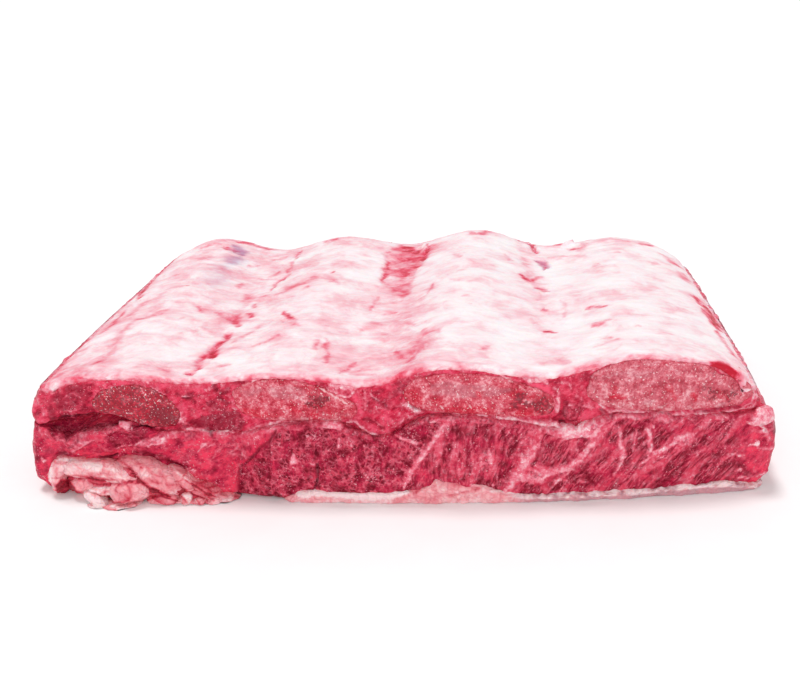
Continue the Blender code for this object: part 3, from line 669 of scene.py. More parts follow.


# What the cuts show: half width, amount of fat or what else, and the line as x, z, x, z. A closed line is
# a patch. Dark paints shade, towards near black, into creases, slits and pits.
cutStrokes = (
    # rib layer, left end: dark block with pale threads, red border, pale lump
    (0.72, dict(tone=-0.53), (-126.4, 41.9, -119.3, 43.1, -111.8, 45.1, -111.6, 40.7, -113.8, 35.6,
     -117.2, 33.7, -123.1, 32.2, -130.7, 31.3, -130.7, 34.9, -127.9, 39.9, -126.4, 41.9)),
    (1.3, dict(tone=-0.25), (-114.8, 42.6, -113.2, 40.6, -115.1, 36)),
    (0.6, 0.5, (-127, 38.4, -125.5, 37.4, -123.4, 39, -121.7, 40.3, -119.5, 40.6, -118.8, 39.7, -120.2, 37.9,
     -122.6, 39.5)),
    (0.6, 0.45, (-117.8, 41.5, -117.3, 39.7, -118, 37.4, -119.6, 36.1, -121.4, 36.8, -125.1, 37.1)),
    (0.69, 0.5, (-113.9, 43.6, -111.9, 44.1, -111.6, 45)),
    (0.69, 0.3, (-127.8, 35.1, -124.8, 33.6, -121, 33.8, -117.4, 35.4)),
    (0.92, dict(tone=0.35, fat=0.25), (-127.3, 40.9, -129.9, 38, -131, 34.9, -132.6, 31.2)),
    (1.95, dict(fat=0.5, lift=0.8), (-131.9, 38.7, -133.3, 36.4)),
    (1.2, dict(tone=-0.44, lift=0.5), (-134.8, 33.3, -134.6, 32.2)),
    (0.62, 0.63, (-132.5, 34.9, -132.9, 33.3, -132.5, 31.6)),
    (0.8, dict(tone=0.3), (-135.3, 30.7, -133.6, 30, -131.9, 30)),
    # above and right of the first rib
    (1.7, dict(tone=0.35), (-110.8, 45.2, -104.9, 45.8, -99.3, 46.6, -95.7, 46.1, -92.4, 44.5)),
    (0.9, dict(tone=0.3), (-111.2, 43.7, -112.4, 40.1, -113.6, 36.6)),
    (0.69, 0.63, (-105.3, 44.1, -105, 44)),
    (0.83, 0.5, (-99.2, 47, -95.7, 45.9, -91.5, 46.2)),
    (0.69, dict(fat=0.72, lift=0.3), (-91.2, 45, -88.9, 43.3, -87.7, 41.6, -86.2, 41.4)),
    (1.38, 0.35, (-81.6, 39.1, -81.4, 35.1, -82.5, 30.5)),
    (1.26, dict(tone=0.2, fat=0.2), (-85.3, 44.2, -80.8, 44.1, -72.9, 44.7, -69.3, 44.3)),
    (0.9, dict(tone=-0.56), (-82.4, 41.8, -78.5, 40.4, -73.7, 41.5)),
    (0.6, dict(dark=0.5, lift=-0.3), (-80.5, 40.7, -76.7, 39.7, -75.7, 38.3)),
    (0.52, 0.72, (-80.2, 41.1, -77, 41)),
    (0.92, 0.38, (-74.9, 39.7, -73.3, 41.5, -71.6, 40.3, -70.3, 37.4, -73, 36.3)),
    (0.83, 0.3, (-78.9, 36.6, -75.7, 36.2, -76.4, 38.7)),
    (1.3, dict(tone=-0.56), (-69.6, 39.4, -69.1, 35.4)),
    (0.6, dict(tone=-0.5, dark=0.08), (-80, 29.5, -76.7, 31.6, -70.5, 33.3, -66.4, 33.7, -66.9, 29.4,
     -71, 28.7, -75.6, 29.6, -80, 29.5)),
    (1.26, dict(fat=0.5, lift=0.3), (-82.9, 32.5, -81.2, 31.3, -79.5, 30)),
    (0.6, dict(dark=0.6, lift=-0.7), (-68.2, 46.3, -67.9, 44.4, -67.6, 42.8)),
    # thick muscle: crease and pocket at the left, the crease painted dark as shade and the pocket's deep
    # tone partly its own colour and partly painted shade
    (0.6, dict(dark=0.72, lift=-0.8), (-131.1, 30.2, -124.8, 31, -113.6, 32.7, -109, 31.7, -104.5, 30)),
    (0.6, dict(tone=-0.62), (-130.5, 29.6, -113.7, 31.7, -110.1, 30.8, -104.6, 29.5, -108.1, 28.1,
     -112.6, 26.6, -118.8, 24.1, -123, 21.8, -126.4, 21.7, -130.2, 22.1, -130.6, 26.2, -130.5, 29.6)),
    (0.9, dict(tone=0.22), (-129.1, 28.3, -125, 29.5, -119.2, 30.4)),
    (0.6, 0.35, (-124.4, 27.5, -118.4, 29.3, -113.9, 30.5)),
    (0.52, 0.72, (-122.6, 28.6, -121.7, 28.3)),
    (0.52, 0.63, (-126.4, 29.9, -125.8, 29.7)),
    (0.69, 0.3, (-128, 26.3, -124.5, 27, -121, 25)),
    # left end of the thick muscle
    (0.97, dict(fat=0.55, lift=0.4), (-134.5, 26.3, -133.3, 21.1)),
    (0.69, 0.45, (-132.8, 26.1, -131.9, 21.7)),
    (0.69, dict(fat=0.68, lift=0.3), (-131.4, 25.8, -130.4, 22.2)),
    (0.92, 0.4, (-135.5, 27.3, -133.8, 26.1)),
    (1.38, dict(tone=0.25, fat=0.22), (-135.8, 18.1, -130.6, 19.7, -125.8, 21.1)),
    (1.1, dict(tone=-0.44), (-137.2, 18.6, -138, 11.6, -137.6, 5.7)),
    (0.83, dict(fat=0.9, lift=0.3), (-135.6, 14.5, -135.6, 12.3)),
    (0.8, dict(tone=0.35), (-133.4, 12.9, -135.1, 5.3)),
    (0.52, dict(dark=0.44, lift=-0.6), (-126.5, 16.9, -131.1, 14.6, -132.9, 11.9)),
    # strands and lips of the left part
    (0.69, dict(fat=0.5, lift=0.9), (-125.6, 20.8, -119.7, 24.2, -114.6, 26.2, -110.6, 27.7, -105.5, 28.2,
     -104.5, 27.4, -108, 26, -111.9, 25.1, -112.6, 23.8, -118.3, 21.5, -122.6, 18.7, -123.8, 17.1,
     -124.5, 18.6, -125.6, 20.8)),
    (0.45, dict(tone=-0.62, dark=0.2), (-124.1, 19.8, -121, 22.1, -116.8, 24.4, -112.8, 25.8, -109.5, 27)),
    (0.52, 0.68, (-123.2, 18.6, -120.9, 20, -117.3, 21.7, -113.2, 23.4)),
    (0.52, dict(fat=0.77, lift=1), (-103.7, 29.5, -100.1, 29.6, -100.5, 28.4, -103.4, 28.2, -103.7, 29.5)),
    (0.54, dict(dark=0.8, lift=-0.8), (-99.6, 28.9, -95.3, 28.7, -91.4, 28.3)),
    (0.44, 0.9, (-99.3, 28.2, -99, 28.1)),
    (0.6, dict(tone=-0.38, lift=0.5), (-108.1, 25.5, -100.1, 28, -92.6, 27.7, -99, 22.3, -104.5, 20.9,
     -109.1, 19, -111.3, 20.2, -111.3, 22.8, -108.1, 25.5)),
    (0.55, dict(fat=0.59, lift=0.4), (-113.3, 23.2, -113, 20.9, -111.4, 19.2, -109.4, 18.1, -106.6, 19.5,
     -102.6, 20.5, -100.4, 21.4)),
    (0.92, 0.35, (-112.1, 23.8, -112.1, 22.2)),
    (0.9, dict(tone=0.28), (-122.4, 17.1, -114.2, 16.7, -109.3, 17.6, -102.9, 18.4, -98.2, 18.6)),
    (0.52, 0.9, (-122.4, 16.6, -121.6, 16.4)),
    (0.69, dict(fat=0.5, lift=0.8), (-99.7, 21, -96.1, 23, -91.2, 24.2, -88.6, 26.6, -81.8, 27.8, -73.9, 28,
     -70.4, 26.1, -75, 26.6, -80.7, 25.8, -85.5, 24.6, -90.5, 22.6, -93.6, 20.8, -97.9, 20.7, -99.7, 21)),
    (0.52, 0.63, (-99.4, 21.2, -96.1, 23.2, -91.7, 24.4, -88.9, 25.7)),
    (0.6, dict(fat=0.85, lift=0.5), (-79.9, 28.5, -74.8, 28.4, -71.6, 27.4, -69.7, 26.4)),
    (0.45, dict(dark=0.64, lift=-0.5), (-71.7, 26.8, -69.3, 25.6)),
    (0.52, 0.45, (-94.7, 19.6, -91.4, 22.9, -87.8, 25.1, -84.4, 25.7)),
    (0.52, 0.4, (-90.1, 18.3, -82.4, 23.2, -75.8, 25.4)),
    (0.69, dict(fat=0.5, lift=0.3), (-75.8, 19.3, -73.6, 22, -71.6, 23.3, -69.4, 24.7)),
    (0.6, 0.55, (-71.9, 21, -67.3, 25.1)),
    (0.52, 0.35, (-79.4, 16.6, -72.9, 21.9)),
    (1.6, dict(tone=0.3, lift=0.5), (-91, 18.8, -82.2, 21.2, -75.3, 23.5, -70.5, 24.6)),
    (1.1, dict(tone=-0.56, lift=-0.4), (-100.6, 17.8, -95, 17.5, -90.4, 16.1, -85.9, 14.1, -81.4, 12.2)),
    (0.92, 0.77, (-79.1, 11.5, -77.1, 11.4)),
    (0.6, 0.4, (-84.1, 13.5, -79.5, 16, -75, 14.1)),
    (0.83, dict(tone=0.35, fat=0.2), (-76.9, 9.7, -73.4, 7.2, -69.6, 3)),
    (0.52, 0.54, (-78.1, 8, -75, 5.4, -70.2, 1.6)),
    (0.52, 0.5, (-75, 10.1, -71.5, 6.7, -69.4, 5.4)),
    (0.54, dict(dark=0.8, lift=-1), (-114.5, 15.7, -112.5, 15.3, -109.6, 15.7, -107.4, 16.7)),
    (0.72, dict(tone=-0.31), (-127.4, 16.1, -122.6, 15.9, -117.2, 16.4)),
    # rib layer between the first and second rib
    (1.38, dict(fat=0.55, lift=0.4), (-71, 44.1, -69.5, 43.9)),
    (0.45, dict(dark=0.44, lift=-0.5), (-67.2, 47, -67.1, 45.3, -66.9, 43.4)),
    (1.49, dict(fat=0.54, lift=0.5), (-65, 45.6, -63.8, 44.9)),
    (0.9, dict(tone=-0.75, dark=0.12), (-62.4, 44.9, -63.5, 43.5, -66.7, 41.5, -65, 38.8, -61.7, 38.9)),
    (0.52, 0.55, (-65.6, 42.9, -62.9, 44.3, -61.7, 45.8)),
    (0.84, dict(dark=0.32, tone=-0.25, lift=-0.5), (-61.4, 46.9, -59.6, 47.4, -55.7, 47.3)),
    (1.15, 0.5, (-55, 48.7, -52.1, 48, -50.7, 46.7)),
    (0.83, 0.3, (-72.9, 40.5, -70.3, 41.4, -67.9, 42.4)),
    (0.9, dict(tone=-0.56), (-73.4, 35.7, -70.4, 35.2, -65.8, 35.9, -64.1, 38.2)),
    (0.6, dict(fat=0.59, lift=0.4), (-65.1, 35.5, -62.4, 37.2, -61, 36)),
    (0.6, dict(tone=-0.62, dark=0.12), (-68.2, 31.5, -65.9, 33.7, -62.2, 35.8, -60, 34.4, -58.8, 31.2,
     -59.6, 28.4, -64.2, 27.2, -68.1, 27.6, -68.2, 31.5)),
    (0.48, 0.72, (-67, 29.2, -66.6, 28.8)),
    (0.48, 0.63, (-65.4, 28.9, -64.9, 28.6)),
    (0.6, dict(tone=-0.5), (-73.7, 33.2, -67.8, 32.5, -68.8, 27.6, -71.3, 27.5, -74.2, 29, -73.7, 33.2)),
    (0.52, dict(dark=0.68, lift=-0.8), (-74.3, 28, -71.4, 26.8, -69, 27)),
    # rib layer between the second and third rib
    (0.69, dict(fat=0.9, lift=0.5), (-30, 45.6, -27.7, 44, -24.9, 41.8, -20.5, 38.8)),
    (0.69, dict(fat=0.5, lift=0.5), (-27.5, 46.5, -20.6, 47.2, -17.8, 45.2, -18.9, 43.1, -23.8, 42.4,
     -26.7, 44.4, -27.5, 46.5)),
    (0.52, 0.68, (-24.1, 42.8, -19.9, 42.6, -18.2, 44.6, -19.3, 46.7)),
    (0.69, 0.54, (-24.4, 49.2, -18.6, 48.3, -17.2, 45.2, -16.8, 43)),
    (0.8, dict(tone=0.4), (-18.3, 43.4, -17.4, 39.7, -16.6, 35.9)),
    (1.03, dict(fat=0.72, lift=0.6), (-14.9, 44.6, -14, 40.3, -14.9, 37)),
    (0.6, dict(dark=0.48, lift=-0.8), (-12.3, 41.7, -10.8, 40.6, -7.7, 39.6, -6.3, 37.5)),
    (0.52, 0.9, (-13.4, 44.7, -12.2, 42.5, -10.6, 40.9, -7.5, 40.1)),
    (0.6, 0.35, (-11.4, 45.8, -6.5, 45.7, -5.5, 42)),
    (0.6, dict(tone=-0.44), (-4.4, 47.4, -0.5, 49.4, -1, 44.7, -2.1, 41.1, -4.1, 41.5, -4.4, 47.4)),
    (1.03, dict(fat=0.54, lift=0.4), (-9.7, 38.1, -3.3, 38.7, 0.7, 37.6, 5, 35.9)),
    (0.69, 0.81, (-1.7, 39.8, 1.7, 38.2, 5, 36.6)),
    (0.69, 0.5, (-14.2, 36.5, -11.7, 37.6, -8.7, 38.6)),
    (0.8, dict(tone=0.35), (-10.2, 34.8, -7.7, 34.2, -5.9, 33.3)),
    (0.84, dict(tone=-0.62, lift=-0.4), (-15.3, 33.1, -12.4, 32.5, -10.3, 31, -7.9, 29.2)),
    (0.52, 0.77, (-13.1, 33.9, -10.4, 31.8, -8.4, 29.9)),
    (0.69, 0.5, (-6.9, 31.9, -4.4, 34.6, -1.7, 35.9)),
    # thick muscle, left of its dark part
    (0.62, dict(fat=0.9, lift=0.6), (-74.5, 26.5, -71.4, 26.1, -66.3, 26.7, -61.6, 27.4)),
    (0.62, dict(fat=0.54, lift=0.3), (-71.5, 15.9, -69.1, 19.5, -64.8, 21.3, -62.6, 22.5)),
    (0.69, 0.4, (-75, 21.4, -71.8, 23)),
    (0.83, 0.54, (-66.9, 24.3, -66.3, 24)),
    (0.6, 0.45, (-66.7, 17.2, -62.2, 20.8, -59.2, 23.3)),
    (0.52, 0.35, (-75.4, 18.3, -73.1, 16, -70.5, 14.8)),
    (1.15, dict(fat=0.5, lift=0.5), (-66, 13.9, -65.1, 12.8)),
    (0.83, 0.35, (-59.1, 21, -60.3, 18.7, -61.1, 16.2)),
    (0.69, dict(fat=0.45, tone=0.2), (-59.2, 25, -57.3, 28.3, -52.7, 30.1, -47.6, 30.9, -43.5, 31.3,
     -47.7, 29.2, -51.9, 27.4, -55.8, 23.4, -57.9, 22.2, -59.2, 25)),
    (0.69, dict(fat=0.54, lift=0.3), (-59.2, 26.1, -57.9, 27.7, -53.7, 30, -48.6, 31.1, -45.5, 31.7)),
    (0.52, 0.59, (-50.6, 30.7, -45.5, 32, -38.5, 31.4, -33.4, 31.8)),
    (0.62, dict(fat=0.9, lift=0.4), (-33.8, 31.8, -33, 31.5)),
    (1, dict(tone=0.3), (-57.9, 23.3, -54.1, 26.2, -49.8, 28.1)),
    # thick muscle: dark lean part
    (0.63, dict(dark=0.52, lift=-1.2), (-46.5, 28.7, -48, 25.8, -49.7, 23.5, -52.9, 21.6, -55.8, 18.2,
     -60.3, 13.9)),
    (0.44, 0.45, (-45.6, 28.7, -47.3, 26.3, -48.6, 24, -44.7, 22.5)),
    (0.6, dict(dark=0.8, lift=-1.5), (-61.3, 13.5, -60.9, 13.4)),
    (0.52, dict(dark=0.4, tone=0.2, lift=-0.8), (-61.9, 12.9, -62.7, 9.3, -63.4, 5.2, -63.3, 1.6)),
    (1.4, dict(tone=0.55), (-66.8, 6.7, -63.7, 5.6, -64.6, 2.1)),
    (0.44, 0.4, (-43.8, 20.5, -40.1, 23.2, -39.3, 24.9)),
    (0.44, 0.3, (-43.7, 21.4, -44.9, 19.7, -44.6, 16.8)),
    (0.92, 0.45, (-44.3, 26.2, -43.4, 25.7)),
    (0.52, 0.9, (-40.6, 19.6, -39.4, 16, -41.8, 15.4, -40.6, 19.6)),
    (0.52, 0.9, (-45.1, 17.5, -44.6, 17.4)),
    (0.52, dict(fat=0.3, dark=0.12, lift=-0.4), (-60.4, 12.8, -54.1, 13.7, -50.2, 12, -48.4, 8.5, -49.2, 4.4,
     -52, 1.9)),
    (1.26, dict(fat=0.3, lift=0.6), (-53.9, 11, -51, 7.9)),
    (0.52, 0.45, (-53.8, 11.8, -50.2, 7.8)),
    (0.97, 0.5, (-60.6, 4.3, -59.8, 3.8)),
    (0.44, 0.4, (-38.9, 16.9, -39.6, 12.2)),
    (1.4, dict(tone=-0.19), (-47, 13.3, -43.3, 7.5, -47.8, 2.6)),
    (0.69, 0.72, (-57.8, 1.9, -56.8, 1.6)),
    (0.92, dict(fat=0.68, lift=0.4), (-47.7, 3.4, -43.6, 2.5)),
    (0.38, 0.4, (-32.7, 23.4, -32.7, 17.1)),
    (0.45, dict(dark=0.4, lift=-0.5), (-32, 23.4, -32.2, 19.4, -33.1, 16.5)),
    (0.63, dict(dark=0.76, lift=-1.3), (-32.1, 15.9, -32, 13.6, -32.3, 9.5, -33.9, 4.8)),
    # thick muscle: marbled part
    (0.52, 0.55, (-31.8, 23.9, -29.8, 25.6, -27.1, 26.2, -24.2, 26.3)),
    (0.52, 0.81, (-24, 26.1, -23.9, 22.3)),
    (0.52, 0.54, (-22.5, 29.2, -20.7, 26.4, -19.3, 24.2, -17.6, 25.3)),
    (0.69, 0.68, (-19.3, 24.1, -19.6, 22.3)),
    (0.52, 0.45, (-20.5, 29.2, -20.1, 26.4, -17, 27)),
    (0.52, 0.45, (-22.3, 14.4, -21.1, 16.7, -19, 19.5, -17.2, 21.8)),
    (0.52, 0.4, (-22.8, 13.8, -20.4, 10.9, -18.3, 12.6, -18.5, 16.6)),
    (0.69, 0.54, (-17.5, 17.4, -16.2, 13.9, -14.3, 10.4, -15.4, 8, -16.2, 6.2)),
    (0.52, 0.5, (-14.3, 10.4, -12.6, 14, -12, 16.7)),
    (0.52, 0.4, (-28, 12.5, -26.6, 7.9, -27.8, 4.3)),
    (0.52, 0.35, (-30.5, 21.7, -29.3, 17.1, -28, 12.5)),
    (0.52, 0.4, (-8.7, 24.3, -9.3, 19.7, -7.4, 16.3, -8.6, 10.5)),
    (0.52, 0.4, (-3.7, 22.1, -4.9, 17.5, -3.5, 12.9, -5.2, 7)),
    (0.6, 0.81, (-15.5, 23.4, -14.3, 22.8)),
    (0.69, dict(fat=0.9, lift=0.6), (-21.4, 32.2, -18.3, 32.5, -16.3, 30.8, -13.4, 28.7, -9.5, 27.3)),
    (1.61, dict(tone=0.4, fat=0.2), (-9, 28.8, -6.1, 26.6, -3.7, 22.6)),
    (0.6, 0.77, (-4.1, 27.6, -1.6, 25.9, 1.4, 24.8, 4.5, 24.2)),
    (0.83, dict(fat=0.54, lift=0.4), (-6.2, 29.9, -0.9, 33.2, 5, 35.9)),
    # rib layer between the third and fourth rib
    (0.6, dict(tone=-0.25), (-1.7, 49.7, 2.3, 50.2, 0.9, 45.5, -1, 43, -1.9, 43.9, -1.7, 49.7)),
    (0.83, dict(fat=0.72, lift=0.4), (-2, 39.5, 0.7, 39.3, 2.4, 37, 6.1, 36)),
    (0.52, dict(dark=0.56, lift=-0.5), (0.8, 39, 3.4, 38, 6.5, 37)),
    (0.69, dict(fat=0.9, lift=0.4), (32, 51.5, 35, 49, 38.2, 47, 41.4, 44.5, 44.6, 42.4)),
    (0.84, dict(tone=0.45), (37.7, 48.1, 42.6, 46.9, 47.2, 45.8)),
    (0.97, dict(fat=0.9, lift=0.5), (39.5, 49.9, 44.5, 47.8, 48, 48.2, 49.9, 46.7)),
    (1, dict(tone=0.45), (44.9, 46.2, 49.4, 44.8, 51.7, 42.4)),
    (0.69, dict(fat=0.85, lift=0.4), (51.1, 45.8, 53.6, 43.7, 54.2, 39.8, 53.8, 35.2)),
    (1.03, dict(fat=0.77, lift=0.6), (53.1, 46.7, 55.5, 47.7, 57.4, 47.1, 57.8, 44.7)),
    (0.83, 0.5, (51.8, 41.8, 52.9, 38.3, 53.5, 34.8)),
    (0.8, dict(tone=-0.5), (57.7, 44.2, 58.4, 43.2)),
    (0.69, dict(tone=-0.44, fat=0.3, lift=0.8), (56.4, 38.3, 58.2, 38.9, 60.3, 37.9, 61.3, 35.1, 60.3, 32.7,
     57.6, 32.6, 56.2, 35.3, 56.4, 38.3)),
    (0.45, dict(dark=0.36, lift=-0.4), (55.9, 38, 55.9, 34.8, 57.1, 32.4, 60.5, 32.3, 61.7, 35.1)),
    (0.52, 0.81, (57.3, 38.8, 58.4, 39.1)),
    (0.83, 0.5, (59.9, 43, 61.7, 40.5, 61, 37.1)),
    (0.6, dict(tone=-0.25), (58.3, 47.5, 62.2, 49.8, 67.9, 50.1, 65.1, 46.8, 63.1, 42.5, 60.3, 44.5,
     58.3, 47.5)),
    (0.6, 0.81, (62.3, 37.6, 64.7, 36.9, 67, 36.3)),
    (1.2, dict(tone=0.5), (62.9, 34.5, 65.7, 33.4, 64.1, 31.4)),
    (0.6, dict(dark=0.8, lift=-1.2), (54.5, 31.7, 56.7, 31.7)),
    (0.69, dict(fat=0.85, lift=0.3), (55, 30.4, 58.2, 30.5, 57.3, 29.1)),
    # white lip under the third rib
    (0.6, dict(fat=0.9, lift=0.5), (16.4, 35.5, 19.1, 35.9, 23.1, 35.1, 26.7, 35.3, 31.3, 33.6, 36.6, 33.8)),
    (0.83, dict(fat=0.9, lift=0.8), (36.6, 33.6, 43, 32.8, 49.4, 32.1, 53.1, 31.3, 54.6, 29.2, 56, 27.7,
     59.2, 27.4)),
    (0.69, dict(fat=0.72, lift=0.6), (47.6, 31.4, 54, 30.7, 56.4, 27.6, 59.6, 27.4, 63.2, 29.3, 65.9, 29.9,
     69, 30.2, 69.1, 28.2, 65.2, 25.9, 60.6, 26, 57, 25.2, 52.3, 26.8, 47.7, 28.4, 47.6, 31.4)),
    # thick muscle: seams and streaks of the right part
    (1.72, 0.54, (18.1, 34, 15.9, 32, 13.6, 29.9, 10.9, 27.4)),
    (1.15, dict(fat=0.68, lift=0.2), (12.7, 29, 10.9, 27.4, 8.5, 23.8, 6.7, 20.3, 3.4, 15.5)),
    (0.83, 0.63, (3.4, 15.5, 1.5, 12.9, 0, 8.2, -1.5, 5.4)),
    (0.69, 0.5, (12.7, 24.3, 15.8, 23.8, 17, 22.2)),
    (0.8, dict(tone=-0.5), (6, 34, 9.6, 33.5, 13.3, 34.5)),
    (0.69, 0.81, (8.4, 32.5, 11.4, 33)),
    (0.69, 0.81, (-0.5, 26, 2.6, 24.3, 5.8, 20.7)),
    (0.83, 0.5, (27.7, 20.5, 31.5, 22.5, 30.6, 18.4, 29.6, 14.2, 27, 12.9, 25.1, 15.5, 27.7, 20.5)),
    (0.6, 0.5, (19.9, 29, 21.3, 24.9, 20.4, 20.7, 21.3, 15.5)),
    (0.6, 0.5, (17.2, 20.8, 16.7, 17.7, 13.5, 13)),
    (0.6, 0.45, (23.1, 22.8, 24.5, 18.6, 23.2, 14.4, 24.1, 10.2)),
    (0.6, 0.5, (38.5, 29.2, 36.8, 24.6, 35.5, 20.5, 36.1, 16.3)),
    (0.69, 0.5, (45.4, 28.5, 41.4, 24.5, 38.8, 19.4, 37, 17.3)),
    (2.3, 0.68, (47.9, 22.7, 44.7, 19.6, 42.1, 15.5, 39.2, 10.4, 36.7, 6.5, 35.8, 4.6)),
    (1.72, 0.65, (46, 14.9, 49.6, 12.8, 54.3, 12.1, 58.9, 13.4, 62, 16.4, 63.8, 19.5, 65.9, 23.1,
     67.9, 26.6)),
    (2.18, 0.63, (40.4, 9.3, 43.6, 10, 48.3, 9.1, 51.3, 10.6)),
    (0.69, dict(tone=0.3, fat=-0.5), (49.7, 8.5, 52, 10, 55.7, 11)),
    (0.69, -0.5, (38.6, 5.1, 39.7, 7.7, 40.8, 9.9)),
    (0.84, dict(tone=-0.25), (47.9, 15.2, 50.3, 17.5, 55.1, 14.7, 58.7, 16.7)),
    (0.6, 0.55, (51.3, 15.9, 52.6, 20, 55.2, 24.1, 57.9, 25)),
    (0.6, 0.45, (55, 17.3, 57.7, 19.9, 59.8, 23.9)),
    (1.03, 0.54, (52.1, 7.8, 55, 8.8, 57.8, 8.1, 59.2, 7)),
    (1.03, 0.59, (62.2, 7.5, 64.9, 6.7)),
    (0.69, 0.5, (50.8, 3.5, 53.1, 6.1, 54.5, 7.7)),
    (0.69, dict(fat=0.9, lift=0.5), (30.7, 6.9, 31.5, 7)),
    (0.83, dict(fat=0.9, lift=0.4), (34.6, 4.9, 36, 4.3)),
    # rib layer round the fourth rib and the right end
    (0.6, dict(tone=-0.31), (60.8, 50.2, 63.6, 51.6, 67.9, 51.1, 67.1, 48.6, 64.9, 44.9, 63.5, 44.1,
     61.1, 44.1, 60.8, 50.2)),
    (0.6, 0.81, (62.4, 37.8, 64.3, 37.3, 66, 35.5)),
    (1.2, dict(tone=0.45), (63.5, 35.6, 67.3, 34.9, 68.9, 33.3)),
    (0.69, dict(fat=0.81, lift=0.4), (67.6, 39.7, 70.1, 36.9, 72.4, 35.3)),
    (0.45, dict(dark=0.44, lift=-0.4), (68.7, 36.3, 71.4, 34.7)),
    (0.6, 0.63, (68.2, 36.6, 70.2, 34.9, 72.1, 34.2)),
    (1.1, dict(tone=0.5), (109.7, 48.7, 111.8, 47.8, 115.2, 47.8, 118.4, 45.8)),
    (0.52, 0.59, (115.9, 50.3, 118.7, 47.5, 120.2, 44.8)),
    (1.15, dict(fat=0.54, lift=0.4), (119.5, 50.1, 123, 47.2, 125, 43.6)),
    (0.8, dict(tone=0.35), (125.9, 42.3, 127.4, 39)),
    (0.6, 0.77, (123.6, 42.6, 125.4, 39.2, 124.8, 35.6, 122, 34.2)),
    (0.62, dict(fat=0.68, lift=0.3), (126.3, 39.2, 126.4, 36.5, 125.4, 33.8, 121.6, 33, 115.6, 32.9)),
    (0.45, dict(dark=0.6, lift=-0.5), (103.5, 33.7, 110.4, 33.8, 115.4, 34.3, 120.5, 34.2)),
    # white lips at the right
    (0.69, dict(fat=0.9, lift=0.7), (72.3, 34.7, 74.2, 35.3, 77.9, 35.1, 82.8, 34.8, 87.8, 33.6, 91.8, 32.8,
     97.7, 33, 103.7, 32.7, 110.6, 32.7, 115.6, 32.9, 121.5, 33.6)),
    (1.03, dict(fat=0.85, lift=0.7), (62, 27.8, 64.7, 29.7, 68.1, 31.2, 71.4, 33.2, 73.3, 34.2)),
    (1.26, 0.68, (61.9, 28.2, 65.9, 26, 68.8, 27.9, 71.6, 29.4)),
    # veins of the right part
    (1.03, 0.56, (75.4, 29.8, 76.2, 25.4, 77, 21, 78.6, 17.7, 77.4, 15, 76.1, 11.1, 75, 7.4)),
    (0.44, 0.54, (82.7, 29.5, 82, 25.2, 81.8, 21.9)),
    (0.97, 0.72, (85.7, 28.8, 87.5, 24.9, 88.3, 20.5, 87.1, 16.7)),
    (1.03, 0.9, (87.9, 29.2, 88.6, 28.2)),
    (0.92, 0.77, (88.5, 17.9, 92, 19.1, 94.9, 20.6, 97.6, 23.2, 100.6, 23.6)),
    (0.69, 0.65, (96.6, 22.2, 98.5, 24.2, 103.3, 25, 103.1, 21.8, 98.9, 20.5, 96.6, 22.2)),
    (0.83, 0.72, (84.4, 12.9, 87.3, 15, 90.1, 17.7)),
    (0.52, 0.55, (88.9, 12.8, 92.2, 15.8, 95.2, 17.3)),
    (0.69, 0.9, (96.3, 24.5, 96.6, 23.3)),
    (1.5, dict(fat=0.55, lift=0.2), (15.9, 34.5, 11.8, 29, 6.7, 20.8, 1.5, 12.5, -1.5, 6.1)),
    (2.6, dict(fat=0.5, lift=0.2), (46.8, 28.5, 45.5, 24.4, 43.3, 20.3, 41.1, 16.2, 40.3, 12, 38.1, 6.7)),
    (1.7, dict(fat=0.55, lift=0.2), (43.5, 14, 48.2, 11.8, 52.9, 11.1, 58.9, 13, 62.9, 16.5, 65, 20.6,
     67.2, 23.6)),
    (2.4, 0.45, (40.8, 10.4, 45.5, 9.2, 50.2, 9)),
    (1.2, dict(fat=1, lift=0.7), (31.2, 34.1, 38.5, 33, 47.6, 31.7, 52.1, 31.1, 55, 28.2, 59.2, 26.5,
     62.4, 27.4, 66, 29.3)),
    (2.2, dict(tone=-0.5), (50.2, 22.2, 53.9, 20, 56.4, 16.8, 51.8, 14.8, 48, 17)),
    (2.4, dict(tone=-0.4), (17.2, 29.5, 21.3, 28.9, 25.8, 27.9)),
    (2.2, dict(tone=-0.5), (17.6, 11.3, 23.2, 9.7, 28.8, 8)),
    (2.4, dict(tone=-0.45), (59.1, 7.6, 63.8, 9.1, 69, 7.7)),
    (0.6, 0.5, (23.1, 20.7, 24.1, 14.4)),
    (0.8, 0.5, (29.5, 21.6, 30.5, 14.3)),
    (0.6, 0.5, (25.9, 22.7, 26.8, 16.5)),
    (0.6, 0.5, (19.5, 22.8, 20.4, 15.5)),
    (0.6, 0.55, (52.7, 4.7, 54.9, 8.3, 59, 11.4)),
    (0.6, 0.55, (57.9, 4.5, 61.4, 8.6, 64.6, 11.1)),
    (1.0, dict(fat=0.55, lift=0.2), (76.3, 29.9, 77.3, 22.2, 77.2, 16.7, 76.6, 11.2)),
    (0.8, 0.5, (82.6, 27.4, 81.8, 22, 81.9, 17.6, 82.4, 13.7)),
    (1.1, dict(fat=0.55, lift=0.2), (87.1, 29.3, 87.5, 25, 86.9, 19.5, 85.7, 16.3)),
    (1.2, dict(fat=0.55, lift=0.2), (96.7, 21.2, 92, 18.1, 88.2, 16.2, 84.4, 13.6)),
    (0.9, 0.5, (90.4, 12.7, 90.1, 8.2, 90.6, 4.8)),
    (1.0, dict(fat=0.5, lift=0.4), (125.7, 19.7, 130.1, 17.6, 134.3, 17.3)),
    (0.9, dict(fat=0.5, lift=0.4), (122.3, 22.7, 126.1, 24.6, 130.4, 23.2)),
    (2.0, dict(tone=-0.45), (79.8, 29, 80, 22, 79.6, 17)),
    (2.0, dict(tone=-0.4), (84.8, 28, 84.8, 22, 83.8, 17)),
    (2.4, dict(tone=-0.4), (91.5, 27, 93.5, 23.5)),
